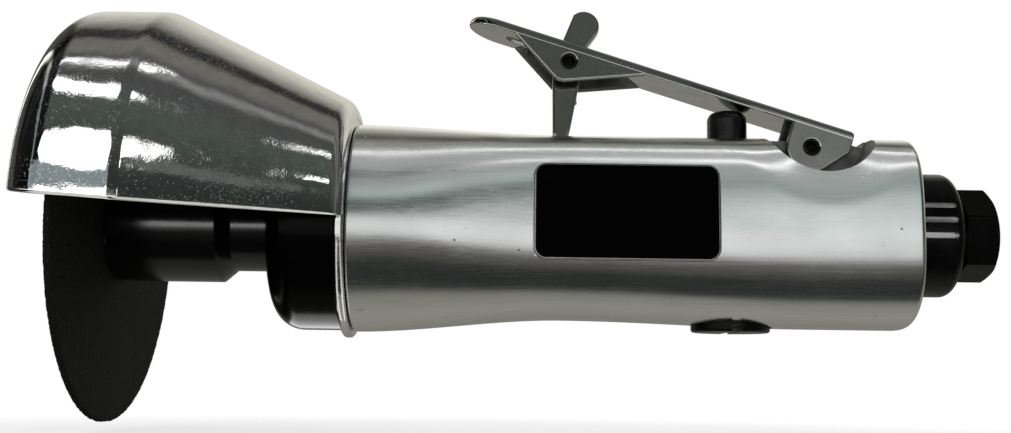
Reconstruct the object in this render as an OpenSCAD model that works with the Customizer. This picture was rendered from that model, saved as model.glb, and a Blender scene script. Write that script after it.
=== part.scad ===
// Air cut-off tool: a vane motor in a cast grip, with a guarded wheel on its nose.
// Lengths are in millimetres. X runs along the spindle towards the air inlet, Z is up.
// The origin is on the spindle axis at the mouth of the air inlet.

/* [Air inlet] */
// Width across the flats of the inlet hexagon
hex_af = 16; // [14.5:0.5:20]
// Length of the inlet hexagon
hex_len = 5.9; // [5:0.1:9]
// Turn of the hexagon about the axis, in degrees
hex_turn = 12; // [0:1:30]
// Minor diameter of the inlet's pipe thread
inlet_thread_d = 11.12; // [10.4:0.02:11.4]
// Length of the inlet's pipe thread
inlet_thread_len = 11; // [9:0.5:13]
// Diameter of the spigot that screws into the housing
inlet_spigot_d = 13.2; // [13:0.1:14]
// Length of the spigot inside the housing
inlet_spigot_len = 12; // [9:0.5:13]

/* [Exhaust deflector] */
// Outside diameter of the exhaust deflector
deflector_d = 24.1; // [23:0.1:28]
// Length of the exhaust deflector
deflector_len = 9.65; // [8.5:0.05:12]
// Wall of the exhaust deflector
deflector_wall = 1.8; // [1.2:0.1:2.2]
// Width of one exhaust slot
slot_w = 0.9; // [0.5:0.1:1.4]
// Angle between neighbouring exhaust slots
slot_step = 14; // [9:1:18]
// Number of exhaust slots in each group
slot_count = 3; // [1:1:5]

/* [Housing] */
// Length of the housing
housing_len = 105.9; // [104:0.1:116]
// Diameter of the housing's front
front_d = 40.6; // [39:0.2:44]
// Height of the waist above the axis
waist_top = 18.3; // [18:0.1:19.5]
// Depth of the waist below the axis
waist_bottom = 17.5; // [17.2:0.1:19]
// Half width of the waist
waist_half_w = 18; // [17.4:0.1:19]
// Height of the rear crown above the axis
rear_top = 18.3; // [18:0.1:20]
// Depth of the rear below the axis
rear_bottom = 18.6; // [18:0.1:20]
// Half width of the rear
rear_half_w = 18; // [17.4:0.1:20]
// Rounding of the rear edge
rear_edge_r = 1.6; // [0.8:0.1:2.4]
// Diameter of the motor bore
motor_bore_d = 29; // [28.6:0.1:30]

/* [Name plate] */
// Length of the name plate
plate_len = 34.3; // [24:0.1:36]
// Height of the name plate
plate_h = 18; // [12:0.5:20]
// Thickness of the name plate
plate_t = 0.8; // [0.4:0.1:1]
// Corner radius of the name plate
plate_corner_r = 2.4; // [1:0.1:4]

/* [Guard] */
// Clearance between the wheel's rim and the guard's roof
wheel_room = 1.8; // [1.2:0.1:4]
// Wall of the guard
guard_wall = 1.6; // [1:0.1:2]
// Length of the guard
guard_len = 55; // [53:0.1:60]
// Radius of the guard's front corner
guard_front_r = 7.5; // [5:0.5:12]
// Length of the roof before it slopes
guard_roof_len = 19.6; // [16:0.1:24]
// Radius of the slope where it meets the rear wall
guard_rear_r = 24.2; // [23:0.1:30]
// Rounding between the slope and the rear wall
guard_shoulder_r = 4; // [2.5:0.1:5]
// How far the guard's ring stands proud of the housing's front
guard_ring_proud = 1.1; // [0.3:0.1:2.4]
// Thickness of the guard's ring
guard_ring_t = 2.3; // [1.7:0.1:3]
// Height of the guard's open edge above the axis, at the front
guard_edge_front = 6.4; // [4:0.1:8]
// Height of the guard's open edge above the axis, at the rear
guard_edge_rear = 2.7; // [1:0.1:4]
// Angle by which the guard is turned on the nose, down on the name plate's side
guard_turn = 8.3; // [0:0.1:12]

/* [Wheel and spindle] */
// Diameter of the cutting wheel
wheel_d = 76.2; // [60:0.1:77]
// Thickness of the cutting wheel
wheel_t = 1.2; // [0.8:0.1:3.2]
// Diameter of the wheel's hole
wheel_bore_d = 9.5; // [8.5:0.1:10]
// Diameter of the spindle's flange
flange_d = 22; // [18:0.5:26]
// Length of the spindle's flange
flange_len = 21.8; // [18:0.1:26]
// Diameter of the spindle's neck
spindle_neck_d = 17.6; // [15:0.1:18.4]
// Length of the neck that shows in front of the nut
neck_show = 7.2; // [3:0.1:9]
// Length of the slope from flange to neck
neck_slope_len = 1.6; // [0.6:0.1:3]

/* [Clamp nut] */
// How far the clamp nut's collar lies inside the housing's front
nut_step = 0.3; // [0:0.1:1.2]
// Length of the clamp nut's collar
nut_len = 13.4; // [12:0.1:18]
// Rounding of the nut's front edge
nut_round = 6.5; // [3:0.1:8]
// Diameter of the nut's threaded spigot
nut_spigot_d = 32; // [31:0.1:33]
// Length of the nut's threaded spigot
nut_spigot_len = 12; // [9:0.5:14]

/* [Motor] */
// Diameter of the rotor
rotor_d = 20.8; // [19.4:0.1:21]
// Wall between the motor's bore and the valve's bore
valve_wall = 3.68; // [3.4:0.02:8]
// Diameter of the cylinder's bore
cylinder_bore_d = 23; // [22.6:0.1:23.2]
// Offset of the cylinder's bore from the axis
cylinder_offset = 0.9; // [0.7:0.05:0.9]
// Number of rotor blades
blade_count = 5; // [4:1:6]
// Thickness of one rotor blade
blade_t = 1.5; // [1:0.1:2]

/* [Throttle] */
// Angle of the throttle lever at rest
lever_slope = 17.4; // [15:0.2:20]
// Width of the throttle lever
lever_w = 12; // [11.5:0.1:14]
// Thickness of the lever's sheet
lever_t = 1.8; // [1.4:0.1:2]
// Length of the lever from its pin to its nose
lever_reach = 71.5; // [69:0.1:76]
// Length of the lever behind its pin
lever_tail = 8.5; // [7:0.1:9]
// Diameter of the two roll pins
pin_d = 3; // [2.5:0.1:3.2]
// Diameter of the plunger's head
plunger_d = 7.8; // [7.4:0.1:9]
// Diameter of the regulator's head
regulator_d = 15.2; // [14.6:0.1:16.4]

/* [Lock-off] */
// Distance from the lever's pin to the lock-off's pin, along the lever
lock_ahead = 49.95; // [48:0.05:52]
// Height of the lock-off's pin above the lever's pin, square to the lever
lock_above = 1.6; // [1.2:0.1:1.9]
// Thickness of the lock-off lever
lock_t = 3; // [2.5:0.1:3.2]
// Width of the foot where it leaves the hub
foot_top_w = 4.9; // [4:0.1:5.2]
// Width of the foot's tip
foot_tip_w = 3.4; // [2.6:0.1:3.8]
// Width of the thumb tab
tab_w = 6.4; // [5:0.1:7]
// Height of the thumb tab above the lock-off's pin
tab_h = 11.6; // [9:0.1:12]

/* [Hidden] */
$fn = 64;
// Fits and small gaps
over = 1;
face_gap = 0.1;
seat_gap = 0.02;
run_fit = 0.06;
turn_fit = 0.05;
body_gap = 0.3;
race_gap = 0.08;

// Inlet bushing, screen and seal
inlet_neck_len = 1.65;
inlet_neck_d = 15.8;
inlet_bore_d = 8.4;
hex_chamfer = 1.6;
screen_d = 10.4;
screen_t = 0.8;
screen_seat_len = 1.4;
screen_hole_d = 1.8;
screen_pitch_r = 3;
o_ring_wire_d = 1.2;
inlet_ring_back = 1.6;
inlet_cavity_len = 2;

// Exhaust deflector
deflector_round = 2;
slot_first = -6;
slot_margin = 1.2;

// Housing
housing_rings = 22;
housing_sides = 48;
edge_steps = 4;
front_lip = 0.5;
round_power = 2;
square_power = 3.4;
waist_top_share = 0.27;
waist_bottom_share = 0.38;
rear_bottom_share = 0.82;
round_share = 0.16;
square_share = 0.6;
air_drill_r = 2.8;
air_drill_drop = 3.6;
motor_port_r = 1.8;
motor_port_z = 5;
gallery_len = 3;
gallery_top = 12;
exhaust_drill_r = 1.8;
exhaust_front_y = 13.4;
exhaust_rear_y = 9.2;
spot_face_gap = 0.5;
plate_from_rear = 54.65;
plate_z = 1.5;

// Guard's relief round the wheel screw
guard_relief_r = 14;

// Wheel screw, outer flange and spindle
outer_flange_d = 17;
outer_flange_t = 1.8;
screw_head_d = 10;
screw_head_len = 4.2;
screw_shank_d = 6;
screw_shank_len = 15;
screw_socket_af = 5;
screw_socket_depth = 2.5;
pilot_len = 1.1;
spindle_tail_d = 11.4;
spindle_step_gap = 2;

// Bearings: front and rear sizes
bearing_f_od = 22;
bearing_f_id = 8;
bearing_f_w = 7;
bearing_r_od = 19;
bearing_r_id = 6;
bearing_r_w = 6;
ball_count = 7;
ball_share = 0.566;
ring_wall_share = 0.257;
cage_w_share = 0.76;
cage_t_share = 0.45;

// Motor
plate_web = 2.5;
web_bore_gap = 1;
rotor_end_gap = 0.2;
rotor_nose_len = 31;
blade_root_r = 5.2;
blade_gap = 0.08;
blade_tip_rise = 0.05;
dowel_d = 2;
dowel_depth = 4;
gasket_t = 0.7;
gasket_bore_r = 6.6;
exhaust_hole_r = 1.1;
exhaust_hole_count = 4;
inlet_port_r = 1.1;

// Throttle lever and its pocket
pivot_from_rear = 17.6;
pivot_below_crown = 2;
lever_lift = 5.5;
ear_r = 4.8;
ear_t = 1.6;
ear_back_drop = 2.4;
ear_heel = 3.4;
pocket_r = 11;
pocket_up = 4.5;
pocket_back = 0.4;
boss_gap = 0.3;
tail_relief = 0.5;
tail_room = 1.1;
cheek_front = 11.8;
cheek_back = 15;
cheek_drop = 4.1;
cheek_toe = 1.4;
pin_bore_d = 2.2;

// Valve
valve_from_rear = 33;
plunger_round = 1.8;
plunger_contact_gap = 0.15;
plunger_head_len = 11.3;
stem_d = 4;
bush_d = 13;
bush_below_crown = 1;
bush_shoulder_drop = 2.5;
bush_guide_len = 2.7;
bush_foot_z = 1;
bush_chamber_r = 3.2;
plunger_groove_r = 2.8;
plunger_groove_w = 1.4;
plunger_groove_up = 2.4;
poppet_r = 4.2;
poppet_t = 2.2;
poppet_tail_r = 1.5;
poppet_tail_len = 1.9;
valve_wire_r = 0.35;
valve_coil_r = 3;
valve_turns = 6;

// Regulator
regulator_body_r = 6.4;
regulator_cup_r = 4.8;
regulator_floor_z = -14;
regulator_head_t = 2.4;
regulator_proud = 0.9;
regulator_slot_w = 1.6;
regulator_slot_depth = 1.2;
regulator_window_r = 2.6;
regulator_edge = 0.6;
regulator_groove_up = 1.5;

// Lock-off lever, its spring and its track in the crown
foot_lean = 7.3;
tab_lean = 18;
tab_neck_w = 4.4;
lock_hub_r = 3.1;
foot_gap = 0.3;
foot_chamfer = 0.6;
track_side_gap = 0.4;
track_depth = 2.1;
track_front = 2.2;
track_low = 6.4;
track_rear = 14.6;
slot_behind = 5;
slot_ahead = 13.6;
lock_wire_r = 0.2;
lock_coil_r = 1.8;
lock_coil_pitch = 0.9;
lock_coil_turns = 2;
lock_leg_len = 9;
lock_hook_drop = 6.6;
lock_hook_gap = 0.15;
coil_steps = 8;
wire_sides = 6;

// Stations along the axis, from the inlet forwards
x_hex = -hex_len;
x_neck = x_hex - inlet_neck_len;
x_defl_rear = x_neck - face_gap;
x_defl_front = x_defl_rear - deflector_len;
x_rear = x_defl_front - face_gap;
x_front = x_rear - housing_len;
x_spigot = x_rear - inlet_spigot_len;
x_ring_rear = x_front - face_gap;
x_ring_front = x_ring_rear - guard_ring_t;
x_nut_rear = x_ring_front - face_gap;
x_nut_front = x_nut_rear - nut_len;
x_spindle_neck = x_nut_front - neck_show;
x_slope = x_spindle_neck - neck_slope_len;
x_wheel_rear = x_slope - flange_len;
x_wheel_front = x_wheel_rear - wheel_t;
x_outer_flange = x_wheel_front - outer_flange_t;
x_screw_head = x_outer_flange - screw_head_len;
x_guard_front = x_ring_rear - guard_len;
x_guard_knee = x_guard_front + guard_roof_len;

// Stations of the motor, from the front backwards; the cylinder fills the room up to the valve
motor_room = housing_len - nut_spigot_len - valve_wall - bush_d / 2 - seat_gap - valve_from_rear;
cylinder_len = motor_room - bearing_f_w - bearing_r_w - 2 * plate_web - gasket_t;
x_bearing_f = x_front + nut_spigot_len;
x_web_f = x_bearing_f + bearing_f_w;
x_cyl_front = x_web_f + plate_web;
x_cyl_rear = x_cyl_front + cylinder_len;
x_bearing_r = x_cyl_rear + plate_web;
x_gasket = x_bearing_r + bearing_r_w;
x_bore_end = x_gasket + gasket_t;
motor_r = motor_bore_d / 2 - turn_fit;
bearing_f_pitch = (bearing_f_od + bearing_f_id) / 4;
bearing_r_pitch = (bearing_r_od + bearing_r_id) / 4;
bearing_f_ball_r = ball_share * (bearing_f_od - bearing_f_id) / 4;
bearing_r_ball_r = ball_share * (bearing_r_od - bearing_r_id) / 4;

// Places across the axis
front_r = front_d / 2;
nut_d = front_d - 2 * nut_step;
guard_ring_d = front_d + 2 * guard_ring_proud;
guard_r = wheel_d / 2 + wheel_room + guard_wall;
x_valve = x_rear - valve_from_rear;
x_pivot = x_rear - pivot_from_rear;
z_pivot = rear_top - pivot_below_crown;
x_lock = x_pivot - lock_ahead * cos(lever_slope) + lock_above * sin(lever_slope);
z_lock = z_pivot + lock_ahead * sin(lever_slope) + lock_above * cos(lever_slope);
x_plate = x_rear - plate_from_rear;
dowel_r = dowel_d / 2;
z_dowel = -(motor_r + cylinder_bore_d / 2 - cylinder_offset) / 2;
z_port = (rotor_d / 2 + cylinder_bore_d / 2 + cylinder_offset) / 2;
inner_half_w = lever_w / 2 - ear_t;
boss_half_w = inner_half_w - boss_gap;

// Blends used by the housing's outline
function blend(a, b, u) = a + (b - a) * u;
function clamp(u) = max(0, min(1, u));
function ease(u) = clamp(u) * clamp(u) * (3 - 2 * clamp(u));
function early(u) = 1 - (1 - clamp(u)) * (1 - clamp(u));
function share_at(x) = (x - x_front) / housing_len;
function crown_at(s) = s < waist_top_share
    ? blend(front_r, waist_top, early(s / waist_top_share))
    : blend(waist_top, rear_top, (s - waist_top_share) / (1 - waist_top_share));
function belly_at(s) = s < waist_bottom_share
    ? blend(front_r, waist_bottom, ease(s / waist_bottom_share))
    : blend(waist_bottom, rear_bottom,
            ease((s - waist_bottom_share) / (rear_bottom_share - waist_bottom_share)));
function flank_at(s) = s < waist_bottom_share
    ? blend(front_r, waist_half_w, ease(s / waist_bottom_share))
    : blend(waist_half_w, rear_half_w, ease((s - waist_bottom_share) / (1 - waist_bottom_share)));
function power_at(s) =
    blend(round_power, square_power, ease((s - round_share) / (square_share - round_share)));
function signed_power(v, p) = sign(v) * pow(abs(v), p);

// One ring of the housing's skin, drawn in by the inset
function skin_ring(x, inset) =
    let (s = clamp(share_at(x)), p = 2 / power_at(s), half_w = flank_at(s) - inset)
    [for (i = [0 : housing_sides - 1])
        let (a = 360 * i / housing_sides, high = (sin(a) > 0 ? crown_at(s) : belly_at(s)) - inset)
        [x, half_w * signed_power(cos(a), p), high * signed_power(sin(a), p)]];

// A closed skin through rings of equal count, each turning the same way about the path
function strip_faces(rings, sides) =
    [for (i = [0 : rings - 2]) for (j = [0 : sides - 1])
        let (k = (j + 1) % sides, a = i * sides, b = a + sides)
        each [[a + j, b + j, b + k], [a + j, b + k, a + k]]];
function cap_faces(rings, sides) =
    [[for (j = [0 : sides - 1]) j],
     [for (j = [0 : sides - 1]) rings * sides - 1 - j]];
module skin(rings, sides) {
    polyhedron(points = [for (ring = rings) each ring],
               faces = concat(strip_faces(len(rings), sides), cap_faces(len(rings), sides)));
}

// A round wire swept along points, without twist
function unit(v) = v / norm(v);
function tangents(path) =
    [for (i = [0 : len(path) - 1])
        unit(path[min(i + 1, len(path) - 1)] - path[max(i - 1, 0)])];
function square_to(n, t) = unit(n - (n * t) * t);
function carried(ts, start) =
    [for (i = 0, n = square_to(start, ts[0]); i < len(ts);
          i = i + 1, n = square_to(n, ts[min(i, len(ts) - 1)])) n];
function wire_rings(path, r, start) =
    let (ts = tangents(path), ns = carried(ts, start))
    [for (i = [0 : len(path) - 1])
        [for (j = [0 : wire_sides - 1])
            let (a = 360 * j / wire_sides)
            path[i] + r * (cos(a) * ns[i] + sin(a) * cross(ts[i], ns[i]))]];
function self_gap(path, r, skip) =
    min([for (i = [0 : len(path) - 1 - skip]) for (j = [i + skip : len(path) - 1])
        norm(path[i] - path[j])]) - 2 * r;

// Shapes along and across the axis
module along_x(x0, x1, r) {
    translate([x0, 0, 0])
        rotate([0, 90, 0])
            cylinder(r = r, h = x1 - x0);
}
module turned() {
    rotate([0, 90, 0])
        rotate_extrude()
            children();
}
module across(x, z, half_w, r) {
    translate([x, half_w, z])
        rotate([90, 0, 0])
            cylinder(r = r, h = 2 * half_w);
}
module side_plate(y0, y1) {
    translate([0, y1, 0])
        rotate([90, 0, 0])
            linear_extrude(y1 - y0)
                children();
}
module both_sides(y0, y1) {
    side_plate(y0, y1)
        children();
    side_plate(-y1, -y0)
        children();
}
module upright(z0, z1, r) {
    translate([x_valve, 0, z0])
        cylinder(r = r, h = z1 - z0);
}
module upright_turned() {
    translate([x_valve, 0, 0])
        rotate_extrude()
            children();
}
// Half section of a bar whose low end has a rounded edge; radius first, then length
module rounded_bar(r, low, high, edge_r) {
    translate([0, low + edge_r])
        square([r, high - low - edge_r]);
    translate([0, low])
        square([r - edge_r, 2 * edge_r]);
    translate([r - edge_r, low + edge_r])
        circle(edge_r);
}
module rounded_rect(w, h, r) {
    square([w - 2 * r, h], center = true);
    square([w, h - 2 * r], center = true);
    for (sx = [-1, 1], sy = [-1, 1])
        translate([sx * (w / 2 - r), sy * (h / 2 - r)])
            circle(r);
}

// Housing
module housing_skin() {
    x_round = x_rear - rear_edge_r;
    x_lip = x_front + front_lip;
    skin(concat(
        [skin_ring(x_front, front_lip)],
        [for (i = [0 : housing_rings]) skin_ring(blend(x_lip, x_round, i / housing_rings), 0)],
        [for (i = [1 : edge_steps])
            let (a = 90 * i / edge_steps)
            skin_ring(x_round + rear_edge_r * sin(a), rear_edge_r * (1 - cos(a)))]),
        housing_sides);
}
module exhaust_drills() {
    run = x_rear - x_bore_end;
    swing = atan((exhaust_front_y - exhaust_rear_y) / run);
    for (s = [-1, 1])
        translate([x_bore_end, s * exhaust_front_y, 0])
            rotate([0, 0, -s * swing])
                along_x(-over, run / cos(swing) + over, exhaust_drill_r);
}
module lever_pocket() {
    reach = rear_half_w + over;
    both_sides(boss_half_w, reach)
        translate([x_pivot + pocket_back, z_pivot + pocket_up])
            circle(pocket_r);
    lever_frame()
        translate([0, -lever_w / 2 - body_gap, lever_lift - lever_t - tail_relief])
            cube([lever_tail + tail_room, lever_w + 2 * body_gap, ear_r]);
}
// Shallow track in the crown, along which the lock-off's foot swings back
module foot_track() {
    crown = crown_at(share_at(x_foot_tip));
    half_w = lock_t / 2 + track_side_gap;
    side_plate(-half_w, half_w)
        polygon([
            [x_foot_tip - track_front, crown + over],
            [x_foot_tip - track_front, crown],
            [x_foot_tip + track_low - track_front, crown - track_depth],
            [x_foot_tip + track_low, crown - track_depth],
            [x_foot_tip + track_rear, crown],
            [x_foot_tip + track_rear, crown + over]]);
}
module housing() {
    bush_r = bush_d / 2 + seat_gap;
    z_spot = -(rear_bottom + regulator_proud - regulator_head_t - face_gap);
    color("silver")
    difference() {
        housing_skin();
        along_x(x_front - over, x_bearing_f, nut_spigot_d / 2 + turn_fit);
        along_x(x_bearing_f - over, x_bore_end, motor_bore_d / 2);
        along_x(x_spigot - inlet_cavity_len, x_rear + over, inlet_spigot_d / 2 + turn_fit);
        exhaust_drills();
        upright(bush_foot_z, rear_top + over, bush_r);
        upright(-rear_bottom - over, bush_foot_z + over, regulator_body_r + run_fit);
        upright(-rear_bottom - over, z_spot, regulator_d / 2 + spot_face_gap);
        translate([0, 0, -air_drill_drop])
            along_x(x_valve, x_spigot, air_drill_r);
        translate([0, 0, motor_port_z])
            along_x(x_bore_end - over, x_valve, motor_port_r);
        translate([x_bore_end - over, -motor_port_r, motor_port_z])
            cube([gallery_len + over, 2 * motor_port_r, gallery_top - motor_port_z]);
        lever_pocket();
        foot_track();
        across(x_pivot, z_pivot, lever_w, pin_d / 2 + seat_gap);
        translate([x_plate, 0, plate_z])
            side_plate(-rear_half_w - over, -rear_half_w + plate_t / 2)
                rounded_rect(plate_len, plate_h, plate_corner_r);
    }
}
module name_plate() {
    y_seat = -rear_half_w + plate_t / 2;
    color("black")
        translate([x_plate, 0, plate_z])
            side_plate(y_seat - plate_t, y_seat)
                rounded_rect(plate_len - 2 * face_gap, plate_h - 2 * face_gap, plate_corner_r - face_gap);
}

// Air inlet and exhaust
module inlet_bushing() {
    groove_r = inlet_spigot_d / 2 - o_ring_wire_d + turn_fit;
    corner_r = hex_af / 2 / cos(30);
    x_groove = x_rear - inlet_ring_back;
    color("dimgray")
    difference() {
        union() {
            intersection() {
                rotate([hex_turn, 0, 0])
                    rotate([0, 90, 0])
                        translate([0, 0, x_hex])
                            cylinder(r = corner_r, h = hex_len, $fn = 6);
                turned()
                    polygon([
                        [0, x_hex],
                        [corner_r + over, x_hex],
                        [corner_r + over, -(hex_chamfer + over) / 2],
                        [corner_r - hex_chamfer, 0],
                        [0, 0]]);
            }
            along_x(x_neck, x_hex, inlet_neck_d / 2);
            along_x(x_spigot, x_neck, inlet_spigot_d / 2);
        }
        along_x(-inlet_thread_len, over, inlet_thread_d / 2);
        along_x(-inlet_thread_len - screen_seat_len, -inlet_thread_len + over, screen_d / 2 + turn_fit);
        along_x(x_spigot - over, 0, inlet_bore_d / 2);
        turned()
            translate([groove_r, x_groove - o_ring_wire_d])
                square([inlet_spigot_d, o_ring_wire_d]);
    }
}
module inlet_o_ring() {
    groove_r = inlet_spigot_d / 2 - o_ring_wire_d + turn_fit;
    wire_d = o_ring_wire_d - turn_fit;
    color("black")
        turned()
            translate([groove_r + wire_d / 2, x_rear - inlet_ring_back - o_ring_wire_d / 2])
                circle(d = wire_d);
}
module inlet_screen() {
    x_seat = -inlet_thread_len - screen_seat_len;
    color("silver")
    difference() {
        along_x(x_seat, x_seat + screen_t, screen_d / 2);
        for (i = [0 : 5])
            rotate([60 * i, 0, 0])
                translate([0, 0, screen_pitch_r])
                    along_x(x_seat - over, x_seat + screen_t + over, screen_hole_d / 2);
        along_x(x_seat - over, x_seat + screen_t + over, screen_hole_d / 2);
    }
}
module exhaust_deflector() {
    outer_r = deflector_d / 2;
    slot_len = deflector_len - deflector_wall - 2 * slot_margin;
    color("dimgray")
    difference() {
        rotate([0, 0, 180])
            turned()
                rounded_bar(outer_r, -x_defl_rear, -x_defl_front, deflector_round);
        along_x(x_defl_front - over, x_defl_rear - deflector_wall, outer_r - deflector_wall);
        along_x(x_defl_front, x_defl_rear + over, inlet_spigot_d / 2 + run_fit);
        for (side = [0, 180], i = [0 : slot_count - 1])
            rotate([side - slot_first - slot_step * i, 0, 0])
                translate([x_defl_front + slot_margin, -outer_r - over, -slot_w / 2])
                    cube([slot_len, 2 * deflector_wall + over, slot_w]);
    }
}

// Guard: half section with all its faces drawn in by the inset; radius first, then length
module guard_section(inset) {
    fall = (guard_r - guard_rear_r) / (x_ring_rear - x_guard_knee);
    angle = atan(fall);
    roof_r = guard_r - inset;
    low = x_guard_front + inset;
    high = x_ring_rear - inset;
    knee = x_guard_knee - inset * tan(angle / 2);
    corner = guard_front_r - inset;
    shoulder = guard_shoulder_r - inset;
    x_shoulder = x_ring_rear - guard_shoulder_r;
    shoulder_r = guard_r - fall * (x_shoulder - x_guard_knee) - guard_shoulder_r / cos(angle);
    polygon([
        [0, low],
        [roof_r - corner, low],
        [roof_r, low + corner],
        [roof_r, knee],
        [shoulder_r + shoulder * cos(angle), x_shoulder + shoulder * sin(angle)],
        [shoulder_r, high],
        [0, high]]);
    translate([roof_r - corner, low + corner])
        circle(corner);
    translate([shoulder_r, x_shoulder])
        circle(shoulder);
}
// What lies below the guard's open edge, seen from the side
module guard_opening() {
    reach = guard_r + over;
    polygon([
        [x_guard_front, guard_edge_front],
        [x_ring_rear + over, guard_edge_rear],
        [x_ring_rear + over, -reach],
        [x_guard_front - over, -reach],
        [x_guard_front - over, guard_edge_front]]);
}
// The full turned shell, cut away below its open edge
module guard_shell() {
    reach = guard_r + over;
    difference() {
        turned()
            difference() {
                guard_section(0);
                guard_section(guard_wall);
            }
        rotate([guard_turn, 0, 0])
            side_plate(-reach, reach)
                guard_opening();
    }
}
module guard() {
    ring_bore_r = nut_spigot_d / 2 + run_fit;
    color("gainsboro")
    difference() {
        union() {
            guard_shell();
            along_x(x_ring_front, x_ring_rear, guard_ring_d / 2);
        }
        along_x(x_ring_front - over, x_ring_rear + over, ring_bore_r);
        along_x(x_guard_front - over, x_guard_front + guard_wall + over, guard_relief_r);
    }
}

// Wheel, spindle and clamp nut
module cutting_wheel() {
    color("#202020")
    difference() {
        along_x(x_wheel_front, x_wheel_rear, wheel_d / 2);
        along_x(x_wheel_front - over, x_wheel_rear + over, wheel_bore_d / 2);
    }
}
module outer_flange() {
    color("dimgray")
    difference() {
        along_x(x_outer_flange, x_wheel_front, outer_flange_d / 2);
        along_x(x_outer_flange - over, x_wheel_front + over, screw_shank_d / 2 + turn_fit);
    }
}
module wheel_screw() {
    color("dimgray")
    difference() {
        union() {
            along_x(x_screw_head, x_outer_flange, screw_head_d / 2);
            along_x(x_outer_flange, x_outer_flange + screw_shank_len, screw_shank_d / 2);
        }
        rotate([0, 90, 0])
            translate([0, 0, x_screw_head - over])
                cylinder(r = screw_socket_af / 2 / cos(30), h = screw_socket_depth + over, $fn = 6);
    }
}
module wheel_spindle() {
    flange_r = flange_d / 2;
    neck_r = spindle_neck_d / 2;
    tail_r = spindle_tail_d / 2;
    x_step = x_nut_rear - spindle_step_gap;
    x_nose = x_cyl_front - rotor_nose_len;
    color("#282828")
    difference() {
        turned()
            polygon([
                [0, x_wheel_rear - pilot_len],
                [wheel_bore_d / 2 - turn_fit, x_wheel_rear - pilot_len],
                [wheel_bore_d / 2 - turn_fit, x_wheel_rear],
                [flange_r, x_wheel_rear],
                [flange_r, x_slope],
                [neck_r, x_spindle_neck],
                [neck_r, x_step],
                [tail_r, x_step],
                [tail_r, x_bearing_f],
                [0, x_bearing_f]]);
        along_x(x_outer_flange, x_outer_flange + screw_shank_len + over, screw_shank_d / 2 + turn_fit);
        along_x(x_nose - over, x_bearing_f + over, bearing_f_id / 2 + turn_fit);
    }
}
module clamp_nut() {
    color("#181818")
    difference() {
        union() {
            turned()
                rounded_bar(nut_d / 2, x_nut_front, x_nut_rear, nut_round);
            along_x(x_nut_rear, x_bearing_f, nut_spigot_d / 2);
        }
        along_x(x_nut_front - over, x_bearing_f + over, spindle_neck_d / 2 + body_gap);
    }
}

// Ball bearings
module bearing_race(x, w, r0, r1, pitch_r, ball_r) {
    turned()
        difference() {
            translate([r0, x])
                square([r1 - r0, w]);
            translate([pitch_r, x + w / 2])
                circle(ball_r + race_gap);
        }
}
module outer_race(x, w, od, id) {
    wall = ring_wall_share * (od - id) / 2;
    bearing_race(x, w, od / 2 - wall, od / 2, (od + id) / 4, ball_share * (od - id) / 4);
}
module inner_race(x, w, od, id) {
    wall = ring_wall_share * (od - id) / 2;
    bearing_race(x, w, id / 2, id / 2 + wall, (od + id) / 4, ball_share * (od - id) / 4);
}
module ball_set(x, w, pitch_r, r) {
    for (i = [0 : ball_count - 1])
        rotate([360 * i / ball_count, 0, 0])
            translate([x + w / 2, 0, pitch_r])
                sphere(r);
}
module ball_cage(x, w, od, id) {
    pitch_r = (od + id) / 4;
    ball_r = ball_share * (od - id) / 4;
    cage_t = cage_t_share * 2 * ball_r;
    cage_w = cage_w_share * w;
    difference() {
        turned()
            translate([pitch_r - cage_t / 2, x + (w - cage_w) / 2])
                square([cage_t, cage_w]);
        ball_set(x, w, pitch_r, ball_r + race_gap);
    }
}
module front_bearing_outer_ring() {
    color("lightsteelblue")
        outer_race(x_bearing_f, bearing_f_w, bearing_f_od, bearing_f_id);
}
module front_bearing_inner_ring() {
    color("lightsteelblue")
        inner_race(x_bearing_f, bearing_f_w, bearing_f_od, bearing_f_id);
}
module front_bearing_balls() {
    color("white")
        ball_set(x_bearing_f, bearing_f_w, bearing_f_pitch, bearing_f_ball_r);
}
module front_bearing_cage() {
    color("darkgoldenrod")
        ball_cage(x_bearing_f, bearing_f_w, bearing_f_od, bearing_f_id);
}
module rear_bearing_outer_ring() {
    color("lightsteelblue")
        outer_race(x_bearing_r, bearing_r_w, bearing_r_od, bearing_r_id);
}
module rear_bearing_inner_ring() {
    color("lightsteelblue")
        inner_race(x_bearing_r, bearing_r_w, bearing_r_od, bearing_r_id);
}
module rear_bearing_balls() {
    color("white")
        ball_set(x_bearing_r, bearing_r_w, bearing_r_pitch, bearing_r_ball_r);
}
module rear_bearing_cage() {
    color("darkgoldenrod")
        ball_cage(x_bearing_r, bearing_r_w, bearing_r_od, bearing_r_id);
}

// Vane motor
module dowel_hole(x0, x1) {
    translate([0, 0, z_dowel])
        along_x(x0, x1, dowel_r + seat_gap);
}
module front_end_plate() {
    color("slategray")
    difference() {
        along_x(x_bearing_f, x_cyl_front, motor_r);
        along_x(x_bearing_f - over, x_web_f, bearing_f_od / 2 + seat_gap);
        along_x(x_bearing_f, x_cyl_front + over, bearing_f_id / 2 + web_bore_gap);
        dowel_hole(x_cyl_front - dowel_depth, x_cyl_front + over);
    }
}
module rear_end_plate() {
    color("slategray")
    difference() {
        along_x(x_cyl_rear, x_gasket, motor_r);
        along_x(x_bearing_r, x_gasket + over, bearing_r_od / 2 + seat_gap);
        along_x(x_cyl_rear - over, x_gasket, bearing_r_id / 2 + web_bore_gap);
        dowel_hole(x_cyl_rear - over, x_cyl_rear + dowel_depth);
        translate([0, 0, z_port])
            along_x(x_cyl_rear - over, x_gasket + over, inlet_port_r);
    }
}
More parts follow.
